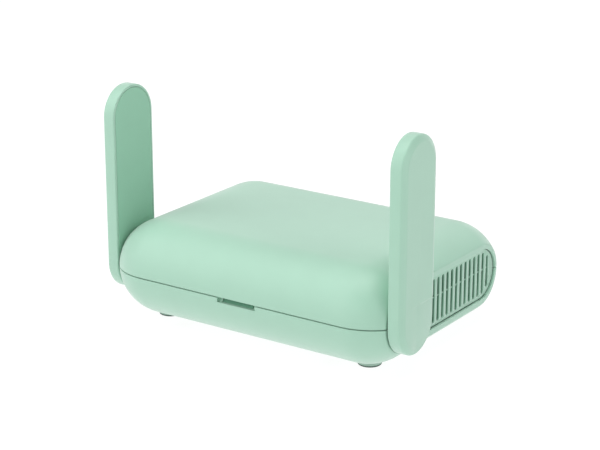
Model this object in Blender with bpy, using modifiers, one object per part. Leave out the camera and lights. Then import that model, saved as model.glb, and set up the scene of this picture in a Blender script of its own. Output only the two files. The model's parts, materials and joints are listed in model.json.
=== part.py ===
"""Palm-sized Wi-Fi router and range extender with two folding paddle antennas.

All sizes are in metres. +Z is up and -Y is the front. The origin is on the table, under the middle
of the body. Each sub-part is one named object in the collection "wifi_range_extender". The tools
that cut or join shapes stay in the collection "shaping_tools".
"""
import math

import bmesh
import bpy
from mathutils import Matrix, Vector

MM = 0.001

# Casing: a pillow whose cross-section is a stadium, cut flat at its two ends
BODY_WIDTH = 108.0 * MM
BODY_DEPTH = 84.6 * MM
BODY_HEIGHT = 33.6 * MM
SHOULDER_RADIUS = 18.5 * MM
SHOULDER_RUN = 13.6 * MM
WALL = 1.8 * MM
CLEAR = 0.3 * MM

# Feet
FOOT_RADIUS = 4.0 * MM
FOOT_PROUD = 1.3 * MM
FOOT_SEAT = 0.8 * MM
FOOT_CHAMFER = (0.4 * MM, 0.5 * MM)
FOOT_INSET_X = 13.0 * MM
FOOT_INSET_Y = 17.5 * MM

# Side grilles
RIM = 1.3 * MM
PLATE_RECESS = 0.2 * MM
FLANGE_THICKNESS = 1.4 * MM
FLANGE_LIP = 0.45 * MM
SLOT_PITCH = 3.0 * MM
SLOT_WIDTH = 1.3 * MM
SLOT_BORDER = 1.64 * MM
SLOT_FIELD_INSET = 3.4 * MM
SLOT_MARGIN_AT_HUB = 4.5 * MM

# Antennas and their hinges
ANTENNA_LENGTH = 72.6 * MM
ANTENNA_WIDTH = 20.8 * MM
ANTENNA_EDGE = 4.5 * MM
ANTENNA_CROWN = 0.8 * MM
ANTENNA_MARGIN = 5.5 * MM
ANTENNA_FILLET = 0.5 * MM
ANTENNA_GAP = 0.55 * MM
ANTENNA_COVER_INSET = 1.8 * MM
ANTENNA_COVER_THICKNESS = 1.0 * MM
ANTENNA_CAVITY_INSET = 3.0 * MM
ANTENNA_CAVITY_DEPTH = 2.2 * MM
ELEMENT_WIDTH = 10.0 * MM
ELEMENT_THICKNESS = 0.8 * MM
HINGE_FORWARD = 0.5 * MM
BARREL_RADIUS = 3.65 * MM
BARREL_BORE = 1.6 * MM
BARREL_REACH = 10.0 * MM
BARREL_RUNNING_GAP = 0.2 * MM
BUSH_WALL = 1.05 * MM
BUSH_LENGTH = 6.9 * MM
BUSH_INSET = 0.5 * MM
HUB_WALL = 1.4 * MM
CLIP_THICKNESS = 0.6 * MM
CLIP_DEPTH = 0.85 * MM
CLIP_PROUD = 1.75 * MM
WASHER_THICKNESS = 0.5 * MM
WASHER_PROUD = 2.2 * MM
COAX_RADIUS = 0.55 * MM
COAX_PLUG_RADIUS = 1.3 * MM
COAX_PLUG_HEIGHT = 1.2 * MM
COAX_PLUG_INSET = (2.0 * MM, 4.0 * MM)
COAX_LEAVES_PLUG = (2.4 * MM, -0.5 * MM, 0.5 * MM)
COAX_RISE = [(6.5 * MM, 1.4 * MM, 3.2 * MM), (3.0 * MM, 0.1 * MM, 0.3 * MM)]

# Status light in the front notch
NOTCH_WIDTH = 15.4 * MM
NOTCH_HEIGHT = 1.6 * MM
NOTCH_DEPTH = 1.1 * MM
PIPE_WIDTH = 12.0 * MM
PIPE_HEIGHT = 1.3 * MM
PIPE_LEG = 2.0 * MM
LED_SIZE = (3.0 * MM, 1.5 * MM, 0.8 * MM)

# Port panel at the back
PANEL_WIDTH = 72.0 * MM
PANEL_MARGIN = 2.65 * MM
PANEL_CORNER = 3.5 * MM
PANEL_SEAT = 0.5 * MM
PANEL_THICKNESS = 2.0 * MM
PANEL_RIM = 1.2 * MM
PANEL_LIP = 0.85 * MM
PANEL_SINK = 0.35 * MM
JACK_WIDTH = 16.0 * MM
JACK_HEIGHT = 13.4 * MM
JACK_DEPTH = 20.0 * MM
JACK_SINK = 0.2 * MM
PLUG_WIDTH = 12.0 * MM
PLUG_HEIGHT = 7.6 * MM
PLUG_DEPTH = 13.0 * MM
PLUG_FLOOR = 3.5 * MM
LATCH_WIDTH = 6.2 * MM
LATCH_HEIGHT = 2.2 * MM
LAN_X = 1.0 * MM
WAN_X = 18.8 * MM
USB_A_X = -16.5 * MM
USB_A_SIZE = (13.3 * MM, 14.0 * MM, 5.9 * MM)
USB_A_SHELL = 0.45 * MM
USB_A_BACK = 2.0 * MM
USB_A_TONGUE = (11.1 * MM, 9.0 * MM, 1.9 * MM)
USB_C_X = -29.5 * MM
USB_C_SIZE = (8.9 * MM, 7.4 * MM, 3.2 * MM)
USB_C_SHELL = 0.35 * MM
USB_C_BACK = 1.0 * MM
USB_C_TONGUE = (6.6 * MM, 5.0 * MM, 0.7 * MM)
RESET_X = 31.0 * MM
RESET_RADIUS = 1.3 * MM
RESET_HEIGHT = 3.6 * MM
RESET_TRAVEL = 0.8 * MM
RESET_PROUD = 0.4 * MM
RESET_SWITCH = (4.6 * MM, 4.0 * MM, 5.0 * MM)
SWITCH_BACK = 1.0 * MM

# Mode switch behind the left grille
MODE_Y = 0.0
MODE_TRAVEL = 2.0 * MM
MODE_CAP = (1.6 * MM, 5.0 * MM, 3.0 * MM)
MODE_WINDOW_MARGIN = 0.4 * MM
MODE_STEM = (2.0 * MM, 1.2 * MM)
MODE_SWITCH = (3.6 * MM, 8.6 * MM, 5.4 * MM)

# Main board and what sits on it
BOARD_THICKNESS = 1.6 * MM
BOARD_UNDER_PORTS = 0.4 * MM
BOARD_SIDE_GAP = 1.4 * MM
BOARD_FRONT_INSET = 15.8 * MM
BOARD_FROM_PANEL = 3.0 * MM
BOARD_TAB_HALF = 7.0 * MM
BOARD_TAB_GAP = 4.5 * MM
POST_RADIUS = 2.6 * MM
POST_INSET = 3.2 * MM
POST_Y = 12.0 * MM
CHIP_HEIGHT = 1.2 * MM
CPU_SIZE = 15.0 * MM
PAD_THICKNESS = 0.8 * MM
SINK_SIZE = 38.0 * MM
SINK_FROM_JACKS = 1.3 * MM
SINK_BASE = 1.5 * MM
FIN_HEIGHT = 4.0 * MM
FIN_WIDTH = 0.9 * MM
FIN_COUNT = 9
SINK_EDGE = 5.2 * MM
PIN_RADIUS = 1.1 * MM
PIN_HEAD_HEIGHT = 1.0 * MM
PIN_TAIL = 1.0 * MM
MEMORY_SIZE = (9.0 * MM, 6.0 * MM)
WIFI_SIZE = (9.0 * MM, 9.0 * MM)
SHIELD_SIZE = (22.0 * MM, 14.0 * MM, 2.4 * MM)
SHIELD_WALL = 0.3 * MM
SHIELD_FROM_SINK = 2.0 * MM

# Cooling fan on the heatsink
FAN_SIZE = 36.0 * MM
FAN_HEIGHT = 7.0 * MM
FAN_RIM = 1.6 * MM
FAN_PLATE = 1.0 * MM
FAN_HUB_RADIUS = 8.0 * MM
FAN_HUB_WALL = 1.0 * MM
FAN_TIP_GAP = 0.7 * MM
FAN_BLADES = 7
FAN_BLADE_THICKNESS = 0.8 * MM
FAN_BLADE_TILT = 38.0
FAN_STRUT = 2.4 * MM
FAN_SHAFT_RADIUS = 1.0 * MM
FAN_SHAFT_GAP = 0.1 * MM
FAN_BEARING_WALL = 1.1 * MM
FAN_SCREW_INSET = 2.8 * MM
FAN_SCREW_SHORT = 1.0 * MM
STATOR_WALL = 2.4 * MM

# Fasteners
CASE_SCREW_RADIUS = 1.2 * MM
CASE_SCREW_HEAD = (2.3 * MM, 1.8 * MM)
CASE_SCREW_LENGTH = 10.0 * MM
BOARD_SCREW_RADIUS = 0.9 * MM
BOARD_SCREW_HEAD = (2.0 * MM, 1.2 * MM)
BOARD_SCREW_STOP = 2.2 * MM
PILLAR_RADIUS = 3.4 * MM
BOSS_RADIUS = 3.0 * MM
PILLAR_HEIGHT = 6.6 * MM
COUNTERBORE_LEDGE = 3.2 * MM
FRONT_SCREW_X = 30.0 * MM
FRONT_SCREW_INSET = 11.3 * MM

# Air slots in the floor
VENT_COUNT = 9
VENT_PITCH = 3.6 * MM
VENT_WIDTH = 1.6 * MM
VENT_LENGTH = 24.0 * MM

# How finely round shapes are divided
BODY_ARC_STEPS = 8
SHOULDER_STEPS = 6
OUTLINE_STEPS = 12
ROUND = 16
BARREL_ROUND = 24
SMALL_ROUND = 12

# Places worked out from the sizes above
SIDE_X = BODY_WIDTH / 2
SHOULDER_X = SIDE_X - SHOULDER_RUN
FRONT_Y = -BODY_DEPTH / 2
BACK_Y = BODY_DEPTH / 2
MID_Z = FOOT_PROUD + BODY_HEIGHT / 2
FLOOR_Z = FOOT_PROUD + WALL
SHOULDER_DROP = SHOULDER_RADIUS - math.sqrt(SHOULDER_RADIUS**2 - SHOULDER_RUN**2)
END_RADIUS = BODY_HEIGHT / 2 - SHOULDER_DROP
END_CENTRE_Y = (BODY_DEPTH - BODY_HEIGHT) / 2
HINGE_Y = -END_CENTRE_Y - HINGE_FORWARD
OPENING_RADIUS = END_RADIUS - RIM
PLATE_RADIUS = OPENING_RADIUS - CLEAR
SLOT_FIELD_RADIUS = PLATE_RADIUS - SLOT_BORDER
FLANGE_FACE_X = SIDE_X - WALL - CLEAR
BARREL_END_X = SIDE_X - BARREL_REACH
BUSH_END_X = SIDE_X - BUSH_INSET - BUSH_LENGTH
BUSH_BORE = BARREL_RADIUS + BARREL_RUNNING_GAP
BUSH_RADIUS = BUSH_BORE + BUSH_WALL
HUB_BORE = BUSH_RADIUS + CLEAR
HUB_RADIUS = HUB_BORE + HUB_WALL
FOOT_X = SIDE_X - FOOT_INSET_X
FOOT_Y = BACK_Y - FOOT_INSET_Y
BOARD_TOP_Z = MID_Z - JACK_HEIGHT / 2 - BOARD_UNDER_PORTS
BOARD_BOTTOM_Z = BOARD_TOP_Z - BOARD_THICKNESS
PART_Z = BOARD_TOP_Z + CLEAR
BOARD_SCREW_LENGTH = PART_Z - FLOOR_Z - BOARD_SCREW_STOP
BOARD_HALF_X = FOOT_X - PILLAR_RADIUS - BOARD_SIDE_GAP
POST_X = BOARD_HALF_X - POST_INSET
BOARD_FRONT_Y = FRONT_Y + BOARD_FRONT_INSET
PANEL_HEIGHT = JACK_HEIGHT + 2 * PANEL_MARGIN
PANEL_LIP_RISE = PANEL_HEIGHT / 2 + PANEL_LIP
PANEL_BACK_Y = END_CENTRE_Y + math.sqrt((BODY_HEIGHT / 2 - WALL)**2 - PANEL_LIP_RISE**2) - PANEL_SEAT
PANEL_FACE_Y = PANEL_BACK_Y + PANEL_THICKNESS
BOARD_BACK_Y = PANEL_BACK_Y - BOARD_FROM_PANEL
BOARD_TAB_X = SIDE_X - BOARD_TAB_GAP
SINK_CENTRE_Y = PANEL_FACE_Y - JACK_SINK - JACK_DEPTH - SINK_FROM_JACKS - SINK_SIZE / 2
PILLAR_TOP_Z = FLOOR_Z + PILLAR_HEIGHT
SINK_Z = PART_Z + CHIP_HEIGHT + CLEAR + PAD_THICKNESS + CLEAR
FAN_Z = SINK_Z + SINK_BASE + FIN_HEIGHT + CLEAR
FAN_CENTRE = Vector((0.0, SINK_CENTRE_Y, 0.0))
BACK_SCREW_SPOTS = [(-FOOT_X, FOOT_Y), (FOOT_X, FOOT_Y)]
FRONT_SCREW_SPOTS = [(side * FRONT_SCREW_X, FRONT_Y + FRONT_SCREW_INSET) for side in (-1, 1)]
CASE_SCREW_SPOTS = FRONT_SCREW_SPOTS + BACK_SCREW_SPOTS
FOOT_SPOTS = [(x, y) for y in (-FOOT_Y, FOOT_Y) for x in (-FOOT_X, FOOT_X)]
POST_SPOTS = [(x, y) for y in (-POST_Y, POST_Y) for x in (-POST_X, POST_X)]
PIN_OFFSET = SINK_SIZE / 2 - FAN_SCREW_INSET
PIN_SPOTS = [(side * PIN_OFFSET, SINK_CENTRE_Y - side * PIN_OFFSET) for side in (-1, 1)]
FAN_SCREW_OFFSET = FAN_SIZE / 2 - FAN_SCREW_INSET
FAN_SCREW_SPOTS = [(side * FAN_SCREW_OFFSET, SINK_CENTRE_Y + side * FAN_SCREW_OFFSET) for side in (-1, 1)]
CORNER_NAMES = ("front_left", "front_right", "back_left", "back_right")

# Turns that carry a flat outline (u, v) and its thickness (w) onto the world axes
OUTLINE_TURNS = {
    "X": Matrix(((0, 0, 1), (1, 0, 0), (0, 1, 0))).to_4x4(),
    "Y": Matrix(((1, 0, 0), (0, 0, -1), (0, 1, 0))).to_4x4(),
    "Z": Matrix.Identity(4),
}
AXES = {"X": Vector((1, 0, 0)), "Y": Vector((0, 1, 0)), "Z": Vector((0, 0, 1))}


# ---------------------------------------------------------------- scene and materials

def clear_scene():
    """Empty the file, then make the two collections that the script fills."""
    for item in list(bpy.data.objects):
        bpy.data.objects.remove(item)
    for name in ("wifi_range_extender", "shaping_tools"):
        if name not in bpy.data.collections:
            bpy.context.scene.collection.children.link(bpy.data.collections.new(name))


def linear(*rgb):
    """Colour for a shader from display values of 0 to 255."""
    return [((c / 255 + 0.055) / 1.055) ** 2.4 if c > 10 else c / 255 / 12.92 for c in rgb]


def finish(name, rgb, roughness, metallic=0.0):
    """Material of one even colour."""
    material = bpy.data.materials.new(name)
    material.use_nodes = True
    shader = material.node_tree.nodes["Principled BSDF"]
    shader.inputs["Base Color"].default_value = (*linear(*rgb), 1.0)
    shader.inputs["Roughness"].default_value = roughness
    shader.inputs["Metallic"].default_value = metallic
    return material


def make_finishes():
    """Every material of the part, by the name of the surface it is for."""
    return {
        "mint": finish("mint_plastic", (190, 223, 204), 0.55),
        "grille": finish("grille_plastic", (178, 214, 194), 0.55),
        "rubber": finish("grey_rubber", (92, 98, 96), 0.85),
        "light": finish("light_pipe", (225, 232, 228), 0.35),
        "dark": finish("black_plastic", (32, 34, 36), 0.5),
        "board": finish("board_laminate", (26, 74, 48), 0.45),
        "chip": finish("chip_resin", (38, 39, 42), 0.6),
        "pad": finish("thermal_pad", (150, 160, 175), 0.8),
        "steel": finish("steel", (176, 178, 182), 0.3, 1.0),
        "zinc": finish("zinc_screw", (150, 152, 156), 0.35, 1.0),
        "sink": finish("anodised_aluminium", (168, 172, 178), 0.4, 1.0),
        "coax": finish("coax_jacket", (48, 50, 52), 0.5),
        "brass": finish("gilt_brass", (206, 170, 96), 0.3, 1.0),
    }


# ---------------------------------------------------------------- shape helpers

def add_box(bm, low, high):
    """Closed box between two corners."""
    low, high = Vector(low), Vector(high)
    place = Matrix.Translation((low + high) / 2) @ Matrix.Diagonal((*(high - low), 1.0))
    bmesh.ops.create_cube(bm, size=1.0, matrix=place)


def add_rod(bm, start, end, radius, segments=ROUND):
    """Closed cylinder from one point to another."""
    start, end = Vector(start), Vector(end)
    along = end - start
    turn = along.to_track_quat("Z", "Y").to_matrix().to_4x4()
    place = Matrix.Translation((start + end) / 2) @ turn
    bmesh.ops.create_cone(bm, cap_ends=True, segments=segments, radius1=radius,
                          radius2=radius, depth=along.length, matrix=place)


def add_post(bm, spot, low_z, high_z, radius, segments=ROUND):
    """Closed upright cylinder at a place in plan."""
    add_rod(bm, (*spot, low_z), (*spot, high_z), radius, segments)


def stadium(half_length, radius, steps=OUTLINE_STEPS):
    """Outline of a long rounded shape about its middle, anticlockwise from its right-hand end."""
    outline = []
    for centre, start in ((half_length - radius, -0.5), (radius - half_length, 0.5)):
        for step in range(steps + 1):
            angle = math.pi * (start + step / steps)
            outline.append((centre + radius * math.cos(angle), radius * math.sin(angle)))
    return outline


def rounded_rectangle(width, height, corner, steps=4):
    """Outline of a rectangle with round corners, about its middle, anticlockwise."""
    outline = []
    for quarter, (sx, sy) in enumerate(((1, -1), (1, 1), (-1, 1), (-1, -1))):
        centre = (sx * (width / 2 - corner), sy * (height / 2 - corner))
        for step in range(steps + 1):
            angle = math.pi / 2 * (quarter - 1 + step / steps)
            outline.append((centre[0] + corner * math.cos(angle), centre[1] + corner * math.sin(angle)))
    return outline


def shifted(outline, u, v):
    """The same outline moved in its own plane."""
    return [(a + u, b + v) for a, b in outline]


def outline_mesh(outlines, axis, low, high):
    """Flat shape between two heights along an axis: the first outline is its edge, the rest are holes."""
    curve = bpy.data.curves.new("outline", "CURVE")
    curve.dimensions = "2D"
    curve.fill_mode = "BOTH"
    curve.extrude = (high - low) / 2
    for outline in outlines:
        spline = curve.splines.new("POLY")
        spline.points.add(len(outline) - 1)
        for point, (u, v) in zip(spline.points, outline):
            point.co = (u, v, 0.0, 1.0)
        spline.use_cyclic_u = True
    guide = bpy.data.objects.new("outline", curve)
    bpy.context.scene.collection.objects.link(guide)
    depsgraph = bpy.context.evaluated_depsgraph_get()
    mesh = bpy.data.meshes.new_from_object(guide.evaluated_get(depsgraph))
    bpy.data.objects.remove(guide)
    mesh.transform(Matrix.Translation(AXES[axis] * (low + high) / 2) @ OUTLINE_TURNS[axis])
    bm = bmesh.new()
    bm.from_mesh(mesh)
    bmesh.ops.remove_doubles(bm, verts=bm.verts, dist=0.001 * MM)
    bpy.data.meshes.remove(mesh)
    return bm


def loft(rings, closed=True):
    """Skin over rings of equally many points. A closed ring makes a solid, an open one a bent sheet."""
    bm = bmesh.new()
    rows = [[bm.verts.new(point) for point in ring] for ring in rings]
    count = len(rows[0])
    for row, following in zip(rows, rows[1:]):
        for k in range(count if closed else count - 1):
            n = (k + 1) % count
            bm.faces.new((row[k], row[n], following[n], following[k]))
    bm.faces.new(reversed(rows[0]))
    bm.faces.new(rows[-1])
    bmesh.ops.recalc_face_normals(bm, faces=bm.faces)
    return bm


def mesh_object(name, bm, collection):
    mesh = bpy.data.meshes.new(name)
    bm.to_mesh(mesh)
    bm.free()
    item = bpy.data.objects.new(name, mesh)
    bpy.data.collections[collection].objects.link(item)
    return item


def piece(name, bm, material, parent=None):
    """One sub-part of the object, from its mesh."""
    item = mesh_object(name, bm, "wifi_range_extender")
    item.data.materials.append(material)
    item.data.shade_smooth()
    item.data.set_sharp_from_angle(angle=math.radians(30))
    item.parent = parent
    return item


def tool(name, bm, parent=None):
    """A shape that only cuts or joins others."""
    item = mesh_object(name, bm, "shaping_tools")
    item.hide_render = True
    item.display_type = "WIRE"
    item.parent = parent
    return item


def shape(item, operation, other):
    """Cut, join or trim an object with a tool."""
    step = item.modifiers.new(other.name, "BOOLEAN")
    step.operation = operation
    step.object = other


def turned(name, profile, material, location, axis="Z", parent=None, steps=ROUND):
    """Turned piece from (radius, height) points, which run down the outside first."""
    bm = bmesh.new()
    points = [bm.verts.new((radius, 0.0, height)) for radius, height in profile]
    for a, b in zip(points, points[1:]):
        bm.edges.new((a, b))
    if min(radius for radius, height in profile) > 0:
        bm.edges.new((points[-1], points[0]))
    item = piece(name, bm, material, parent)
    screw = item.modifiers.new("turn", "SCREW")
    screw.steps = screw.render_steps = steps
    screw.use_merge_vertices = True
    screw.merge_threshold = 0.001 * MM
    item.location = location
    item.rotation_euler = (0.0, math.pi / 2 if axis == "X" else 0.0, 0.0)
    return item


def tube_profile(outer, inner, low, high):
    return [(outer, high), (outer, low), (inner, low), (inner, high)]


def screw_profile(radius, head, length):
    """Pan-headed screw whose head seats at height 0 and whose shank points up."""
    head_radius, head_height = head
    return [(0.0, length), (radius, length), (radius, 0.0), (head_radius, 0.0),
            (head_radius, -0.6 * head_height), (0.8 * head_radius, -head_height), (0.0, -head_height)]


# ---------------------------------------------------------------- casing

def shoulder_drop(x):
    """How far the casing's surface has rounded in at a distance from the middle."""
    run = max(0.0, abs(x) - SHOULDER_X)
    return SHOULDER_RADIUS - math.sqrt(SHOULDER_RADIUS**2 - run**2)


def shoulder_stations():
    angle = math.asin(SHOULDER_RUN / SHOULDER_RADIUS)
    right = [SHOULDER_X + SHOULDER_RADIUS * math.sin(angle * k / SHOULDER_STEPS)
             for k in range(SHOULDER_STEPS + 1)]
    return [-x for x in reversed(right)] + right


def half_ring(x, upward):
    """Half of the casing's section at x, from the front edge of the joint line to the back one."""
    radius = BODY_HEIGHT / 2 - shoulder_drop(x)
    ring = []
    for side, first, last in ((-1, 0.0, 0.5), (1, 0.5, 1.0)):
        for step in range(BODY_ARC_STEPS + 1):
            angle = math.pi * (first + (last - first) * step / BODY_ARC_STEPS)
            y = side * END_CENTRE_Y - radius * math.cos(angle)
            ring.append((x, y, MID_Z + upward * radius * math.sin(angle)))
    return ring


def half_casing(name, upward, material):
    """One half of the casing as an open skin with its thickness turned inward."""
    bm = loft([half_ring(x, upward) for x in shoulder_stations()], closed=False)
    if bm.faces[0].normal.z * upward < 0:
        bmesh.ops.reverse_faces(bm, faces=bm.faces)
    item = piece(name, bm, material)
    shell = item.modifiers.new("wall", "SOLIDIFY")
    shell.thickness = WALL
    shell.offset = -1.0
    shell.use_even_offset = True
    gap = bmesh.new()
    low, high = sorted((MID_Z - upward * WALL, MID_Z + upward * CLEAR / 2))
    add_box(gap, (-BODY_WIDTH, -BODY_DEPTH, low), (BODY_WIDTH, BODY_DEPTH, high))
    shape(item, "DIFFERENCE", tool(name + "_joint", gap))
    return item


def casing_core(name, inset):
    """The whole casing as one solid, a little smaller all round."""
    rings = []
    for x in shoulder_stations():
        x = math.copysign(min(abs(x), SIDE_X - inset), x)
        drop = shoulder_drop(x) + inset
        outline = stadium(BODY_DEPTH / 2 - drop, BODY_HEIGHT / 2 - drop, 2 * BODY_ARC_STEPS)
        rings.append([(x, y, MID_Z + z) for y, z in outline])
    return tool(name, loft(rings))


def side_openings():
    """Cutter for the stadium openings at both ends of the casing, with room round the hinge hubs."""
    outline = shifted(stadium(END_CENTRE_Y + OPENING_RADIUS, OPENING_RADIUS), 0.0, MID_Z)
    bm = bmesh.new()
    for side in (-1, 1):
        low, high = sorted((side * (SIDE_X - 2 * WALL), side * (SIDE_X + WALL)))
        add_mesh(bm, outline_mesh([outline], "X", low, high))
    openings = tool("side_openings", bm)
    relief = bmesh.new()
    for side in (-1, 1):
        add_rod(relief, (side * BUSH_END_X, HINGE_Y, MID_Z), (side * (SIDE_X - WALL), HINGE_Y, MID_Z),
                HUB_RADIUS + CLEAR, BARREL_ROUND)
    shape(openings, "UNION", tool("hub_relief", relief))
    return openings


def add_mesh(bm, other):
    """Add one mesh's faces to another."""
    mesh = bpy.data.meshes.new("joined")
    other.to_mesh(mesh)
    other.free()
    bm.from_mesh(mesh)
    bpy.data.meshes.remove(mesh)


def port_opening():
    """Cutter for the opening in the back of the casing that the port panel fills."""
    outline = rounded_rectangle(PANEL_WIDTH + 2 * CLEAR, PANEL_HEIGHT + 2 * CLEAR, PANEL_CORNER + CLEAR)
    return tool("port_opening",
                outline_mesh([shifted(outline, 0.0, MID_Z)], "Y", PANEL_BACK_Y - WALL / 2, BACK_Y + WALL))


def make_top_cover(material, core, openings, ports):
    cover = half_casing("top_cover", 1, material)
    bosses = bmesh.new()
    for spot in CASE_SCREW_SPOTS:
        add_post(bosses, spot, PILLAR_TOP_Z + CLEAR, MID_Z + BODY_HEIGHT, BOSS_RADIUS)
    bosses = tool("top_bosses", bosses)
    shape(bosses, "INTERSECT", core)
    shape(cover, "DIFFERENCE", openings)
    shape(cover, "DIFFERENCE", ports)
    shape(cover, "UNION", bosses)
    bores = bmesh.new()
    for spot in CASE_SCREW_SPOTS:
        add_post(bores, spot, FLOOR_Z, PILLAR_TOP_Z + CASE_SCREW_LENGTH, CASE_SCREW_RADIUS + CLEAR,
                 SMALL_ROUND)
    shape(cover, "DIFFERENCE", tool("top_boss_bores", bores))
    return cover


def make_bottom_cover(material, core, openings, ports):
    cover = half_casing("bottom_cover", -1, material)
    posts = bmesh.new()
    for spot in CASE_SCREW_SPOTS:
        add_post(posts, spot, 0.0, PILLAR_TOP_Z, PILLAR_RADIUS)
    for spot in POST_SPOTS:
        add_post(posts, spot, 0.0, BOARD_BOTTOM_Z - CLEAR, POST_RADIUS, SMALL_ROUND)
    posts = tool("floor_posts", posts)
    shape(posts, "INTERSECT", core)
    shape(cover, "DIFFERENCE", openings)
    shape(cover, "DIFFERENCE", ports)
    shape(cover, "UNION", posts)
    shape(cover, "DIFFERENCE", floor_cuts())
    shape(cover, "DIFFERENCE", notch_cut())
    return cover


def floor_cuts():
    """Cutter for the screw holes, foot seats and air slots of the floor."""
    bm = bmesh.new()
    head_top = PILLAR_TOP_Z - COUNTERBORE_LEDGE
    for spot in CASE_SCREW_SPOTS:
        add_stepped_hole(bm, spot, head_top)
    for spot in FOOT_SPOTS:
        if spot not in BACK_SCREW_SPOTS:
            add_post(bm, spot, 0.0, FOOT_PROUD + FOOT_SEAT, FOOT_RADIUS + CLEAR)
    for spot in POST_SPOTS:
        add_post(bm, spot, FLOOR_Z, BOARD_TOP_Z, BOARD_SCREW_RADIUS + CLEAR / 2, SMALL_ROUND)
    for k in range(VENT_COUNT):
        x = (k - (VENT_COUNT - 1) / 2) * VENT_PITCH
        add_box(bm, (x - VENT_WIDTH / 2, -VENT_LENGTH / 2, 0.0),
                (x + VENT_WIDTH / 2, VENT_LENGTH / 2, 2 * FLOOR_Z))
    return tool("floor_cuts", bm)


def add_stepped_hole(bm, spot, head_top):
    """Turned cutter of one screw hole: head bore below, shank bore above, and a foot seat at the back."""
    levels = [(CASE_SCREW_HEAD[0] + CLEAR, head_top), (CASE_SCREW_RADIUS + CLEAR, PILLAR_TOP_Z + WALL)]
    if spot in BACK_SCREW_SPOTS:
        levels.insert(0, (FOOT_RADIUS + CLEAR, FOOT_PROUD + FOOT_SEAT))
    below = 0.0
    rings = []
    for radius, top in levels:
        for z in (below, top):
            rings.append([(spot[0] + radius * math.cos(2 * math.pi * k / ROUND),
                           spot[1] + radius * math.sin(2 * math.pi * k / ROUND), z) for k in range(ROUND)])
        below = top
    add_mesh(bm, loft(rings))


def notch_cut():
    """Cutter for the light's notch in the front edge, and the slot behind it for the light pipe."""
    bm = bmesh.new()
    top = MID_Z + WALL
    add_box(bm, (-NOTCH_WIDTH / 2, FRONT_Y - WALL, MID_Z - NOTCH_HEIGHT),
            (NOTCH_WIDTH / 2, FRONT_Y + NOTCH_DEPTH, top))
    notch = tool("notch_recess", bm)
    bm = bmesh.new()
    half = PIPE_WIDTH / 2 + CLEAR
    low = MID_Z - CLEAR - PIPE_HEIGHT - CLEAR
    add_box(bm, (-half, FRONT_Y - WALL, low), (half, FRONT_Y + 2 * WALL, top))
    slot = tool("notch_cut", bm)
    shape(slot, "UNION", notch)
    return slot


def make_feet(material):
    for name, (x, y) in zip(CORNER_NAMES, FOOT_SPOTS):
        top = FOOT_PROUD + FOOT_SEAT - CLEAR
        edge = FOOT_RADIUS - FOOT_CHAMFER[0]
        profile = [(0.0, top), (FOOT_RADIUS, top), (FOOT_RADIUS, FOOT_CHAMFER[1]), (edge, 0.0), (0.0, 0.0)]
        turned("foot_" + name, profile, material, (x, y, 0.0))


def make_case_screws(material):
    seat = PILLAR_TOP_Z - COUNTERBORE_LEDGE - CLEAR
    profile = screw_profile(CASE_SCREW_RADIUS, CASE_SCREW_HEAD, CASE_SCREW_LENGTH)
    for name, spot in zip(CORNER_NAMES, CASE_SCREW_SPOTS):
        turned("case_screw_" + name, profile, material, (*spot, seat), steps=SMALL_ROUND)


def make_light_pipe(material):
    """Bent bar that carries the light from the board to the front notch."""
    top = MID_Z - CLEAR
    front = FRONT_Y + NOTCH_DEPTH
    led_y = BOARD_FRONT_Y + PIPE_LEG
    leg_back = led_y + PIPE_LEG / 2
    foot = PART_Z + LED_SIZE[2] + CLEAR
    leg_front, under = leg_back - PIPE_LEG, top - PIPE_HEIGHT
    outline = [(front, under), (leg_front, under), (leg_front, foot), (leg_back, foot), (leg_back, top),
               (front, top)]
    piece("light_pipe", outline_mesh([outline], "X", -PIPE_WIDTH / 2, PIPE_WIDTH / 2), material)


# ---------------------------------------------------------------- side grilles

def slot_outline(y, half_height, width):
    """One upright slot with round ends, as points (y, z) about the middle height."""
    radius = width / 2
    outline = []
    for rise, start in ((half_height - radius, 0.0), (radius - half_height, 1.0)):
        for step in range(5):
            angle = math.pi * (start + step / 4)
            outline.append((y + radius * math.cos(angle), MID_Z + rise + radius * math.sin(angle)))
    return outline


def grille_slots(side):
    """Places and half heights of the air slots: they stop short of the hinge and of the mode switch."""
    field_centre = END_CENTRE_Y + PLATE_RADIUS - SLOT_FIELD_INSET - SLOT_FIELD_RADIUS
    first_y = HINGE_Y + HUB_RADIUS + SLOT_MARGIN_AT_HUB
    window = MODE_CAP[1] / 2 + MODE_TRAVEL / 2 + SLOT_PITCH
    slots = []
    count = math.ceil((field_centre + SLOT_FIELD_RADIUS) / SLOT_PITCH)
    for k in range(-count, count):
        y = (k + 0.5) * SLOT_PITCH
        beyond = max(0.0, abs(y) - field_centre)
        if y < first_y or beyond > SLOT_FIELD_RADIUS - SLOT_PITCH / 2:
            continue
        if side < 0 and abs(y - MODE_Y) < window:
            continue
        slots.append((y, math.sqrt(SLOT_FIELD_RADIUS**2 - beyond**2)))
    return slots


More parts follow.
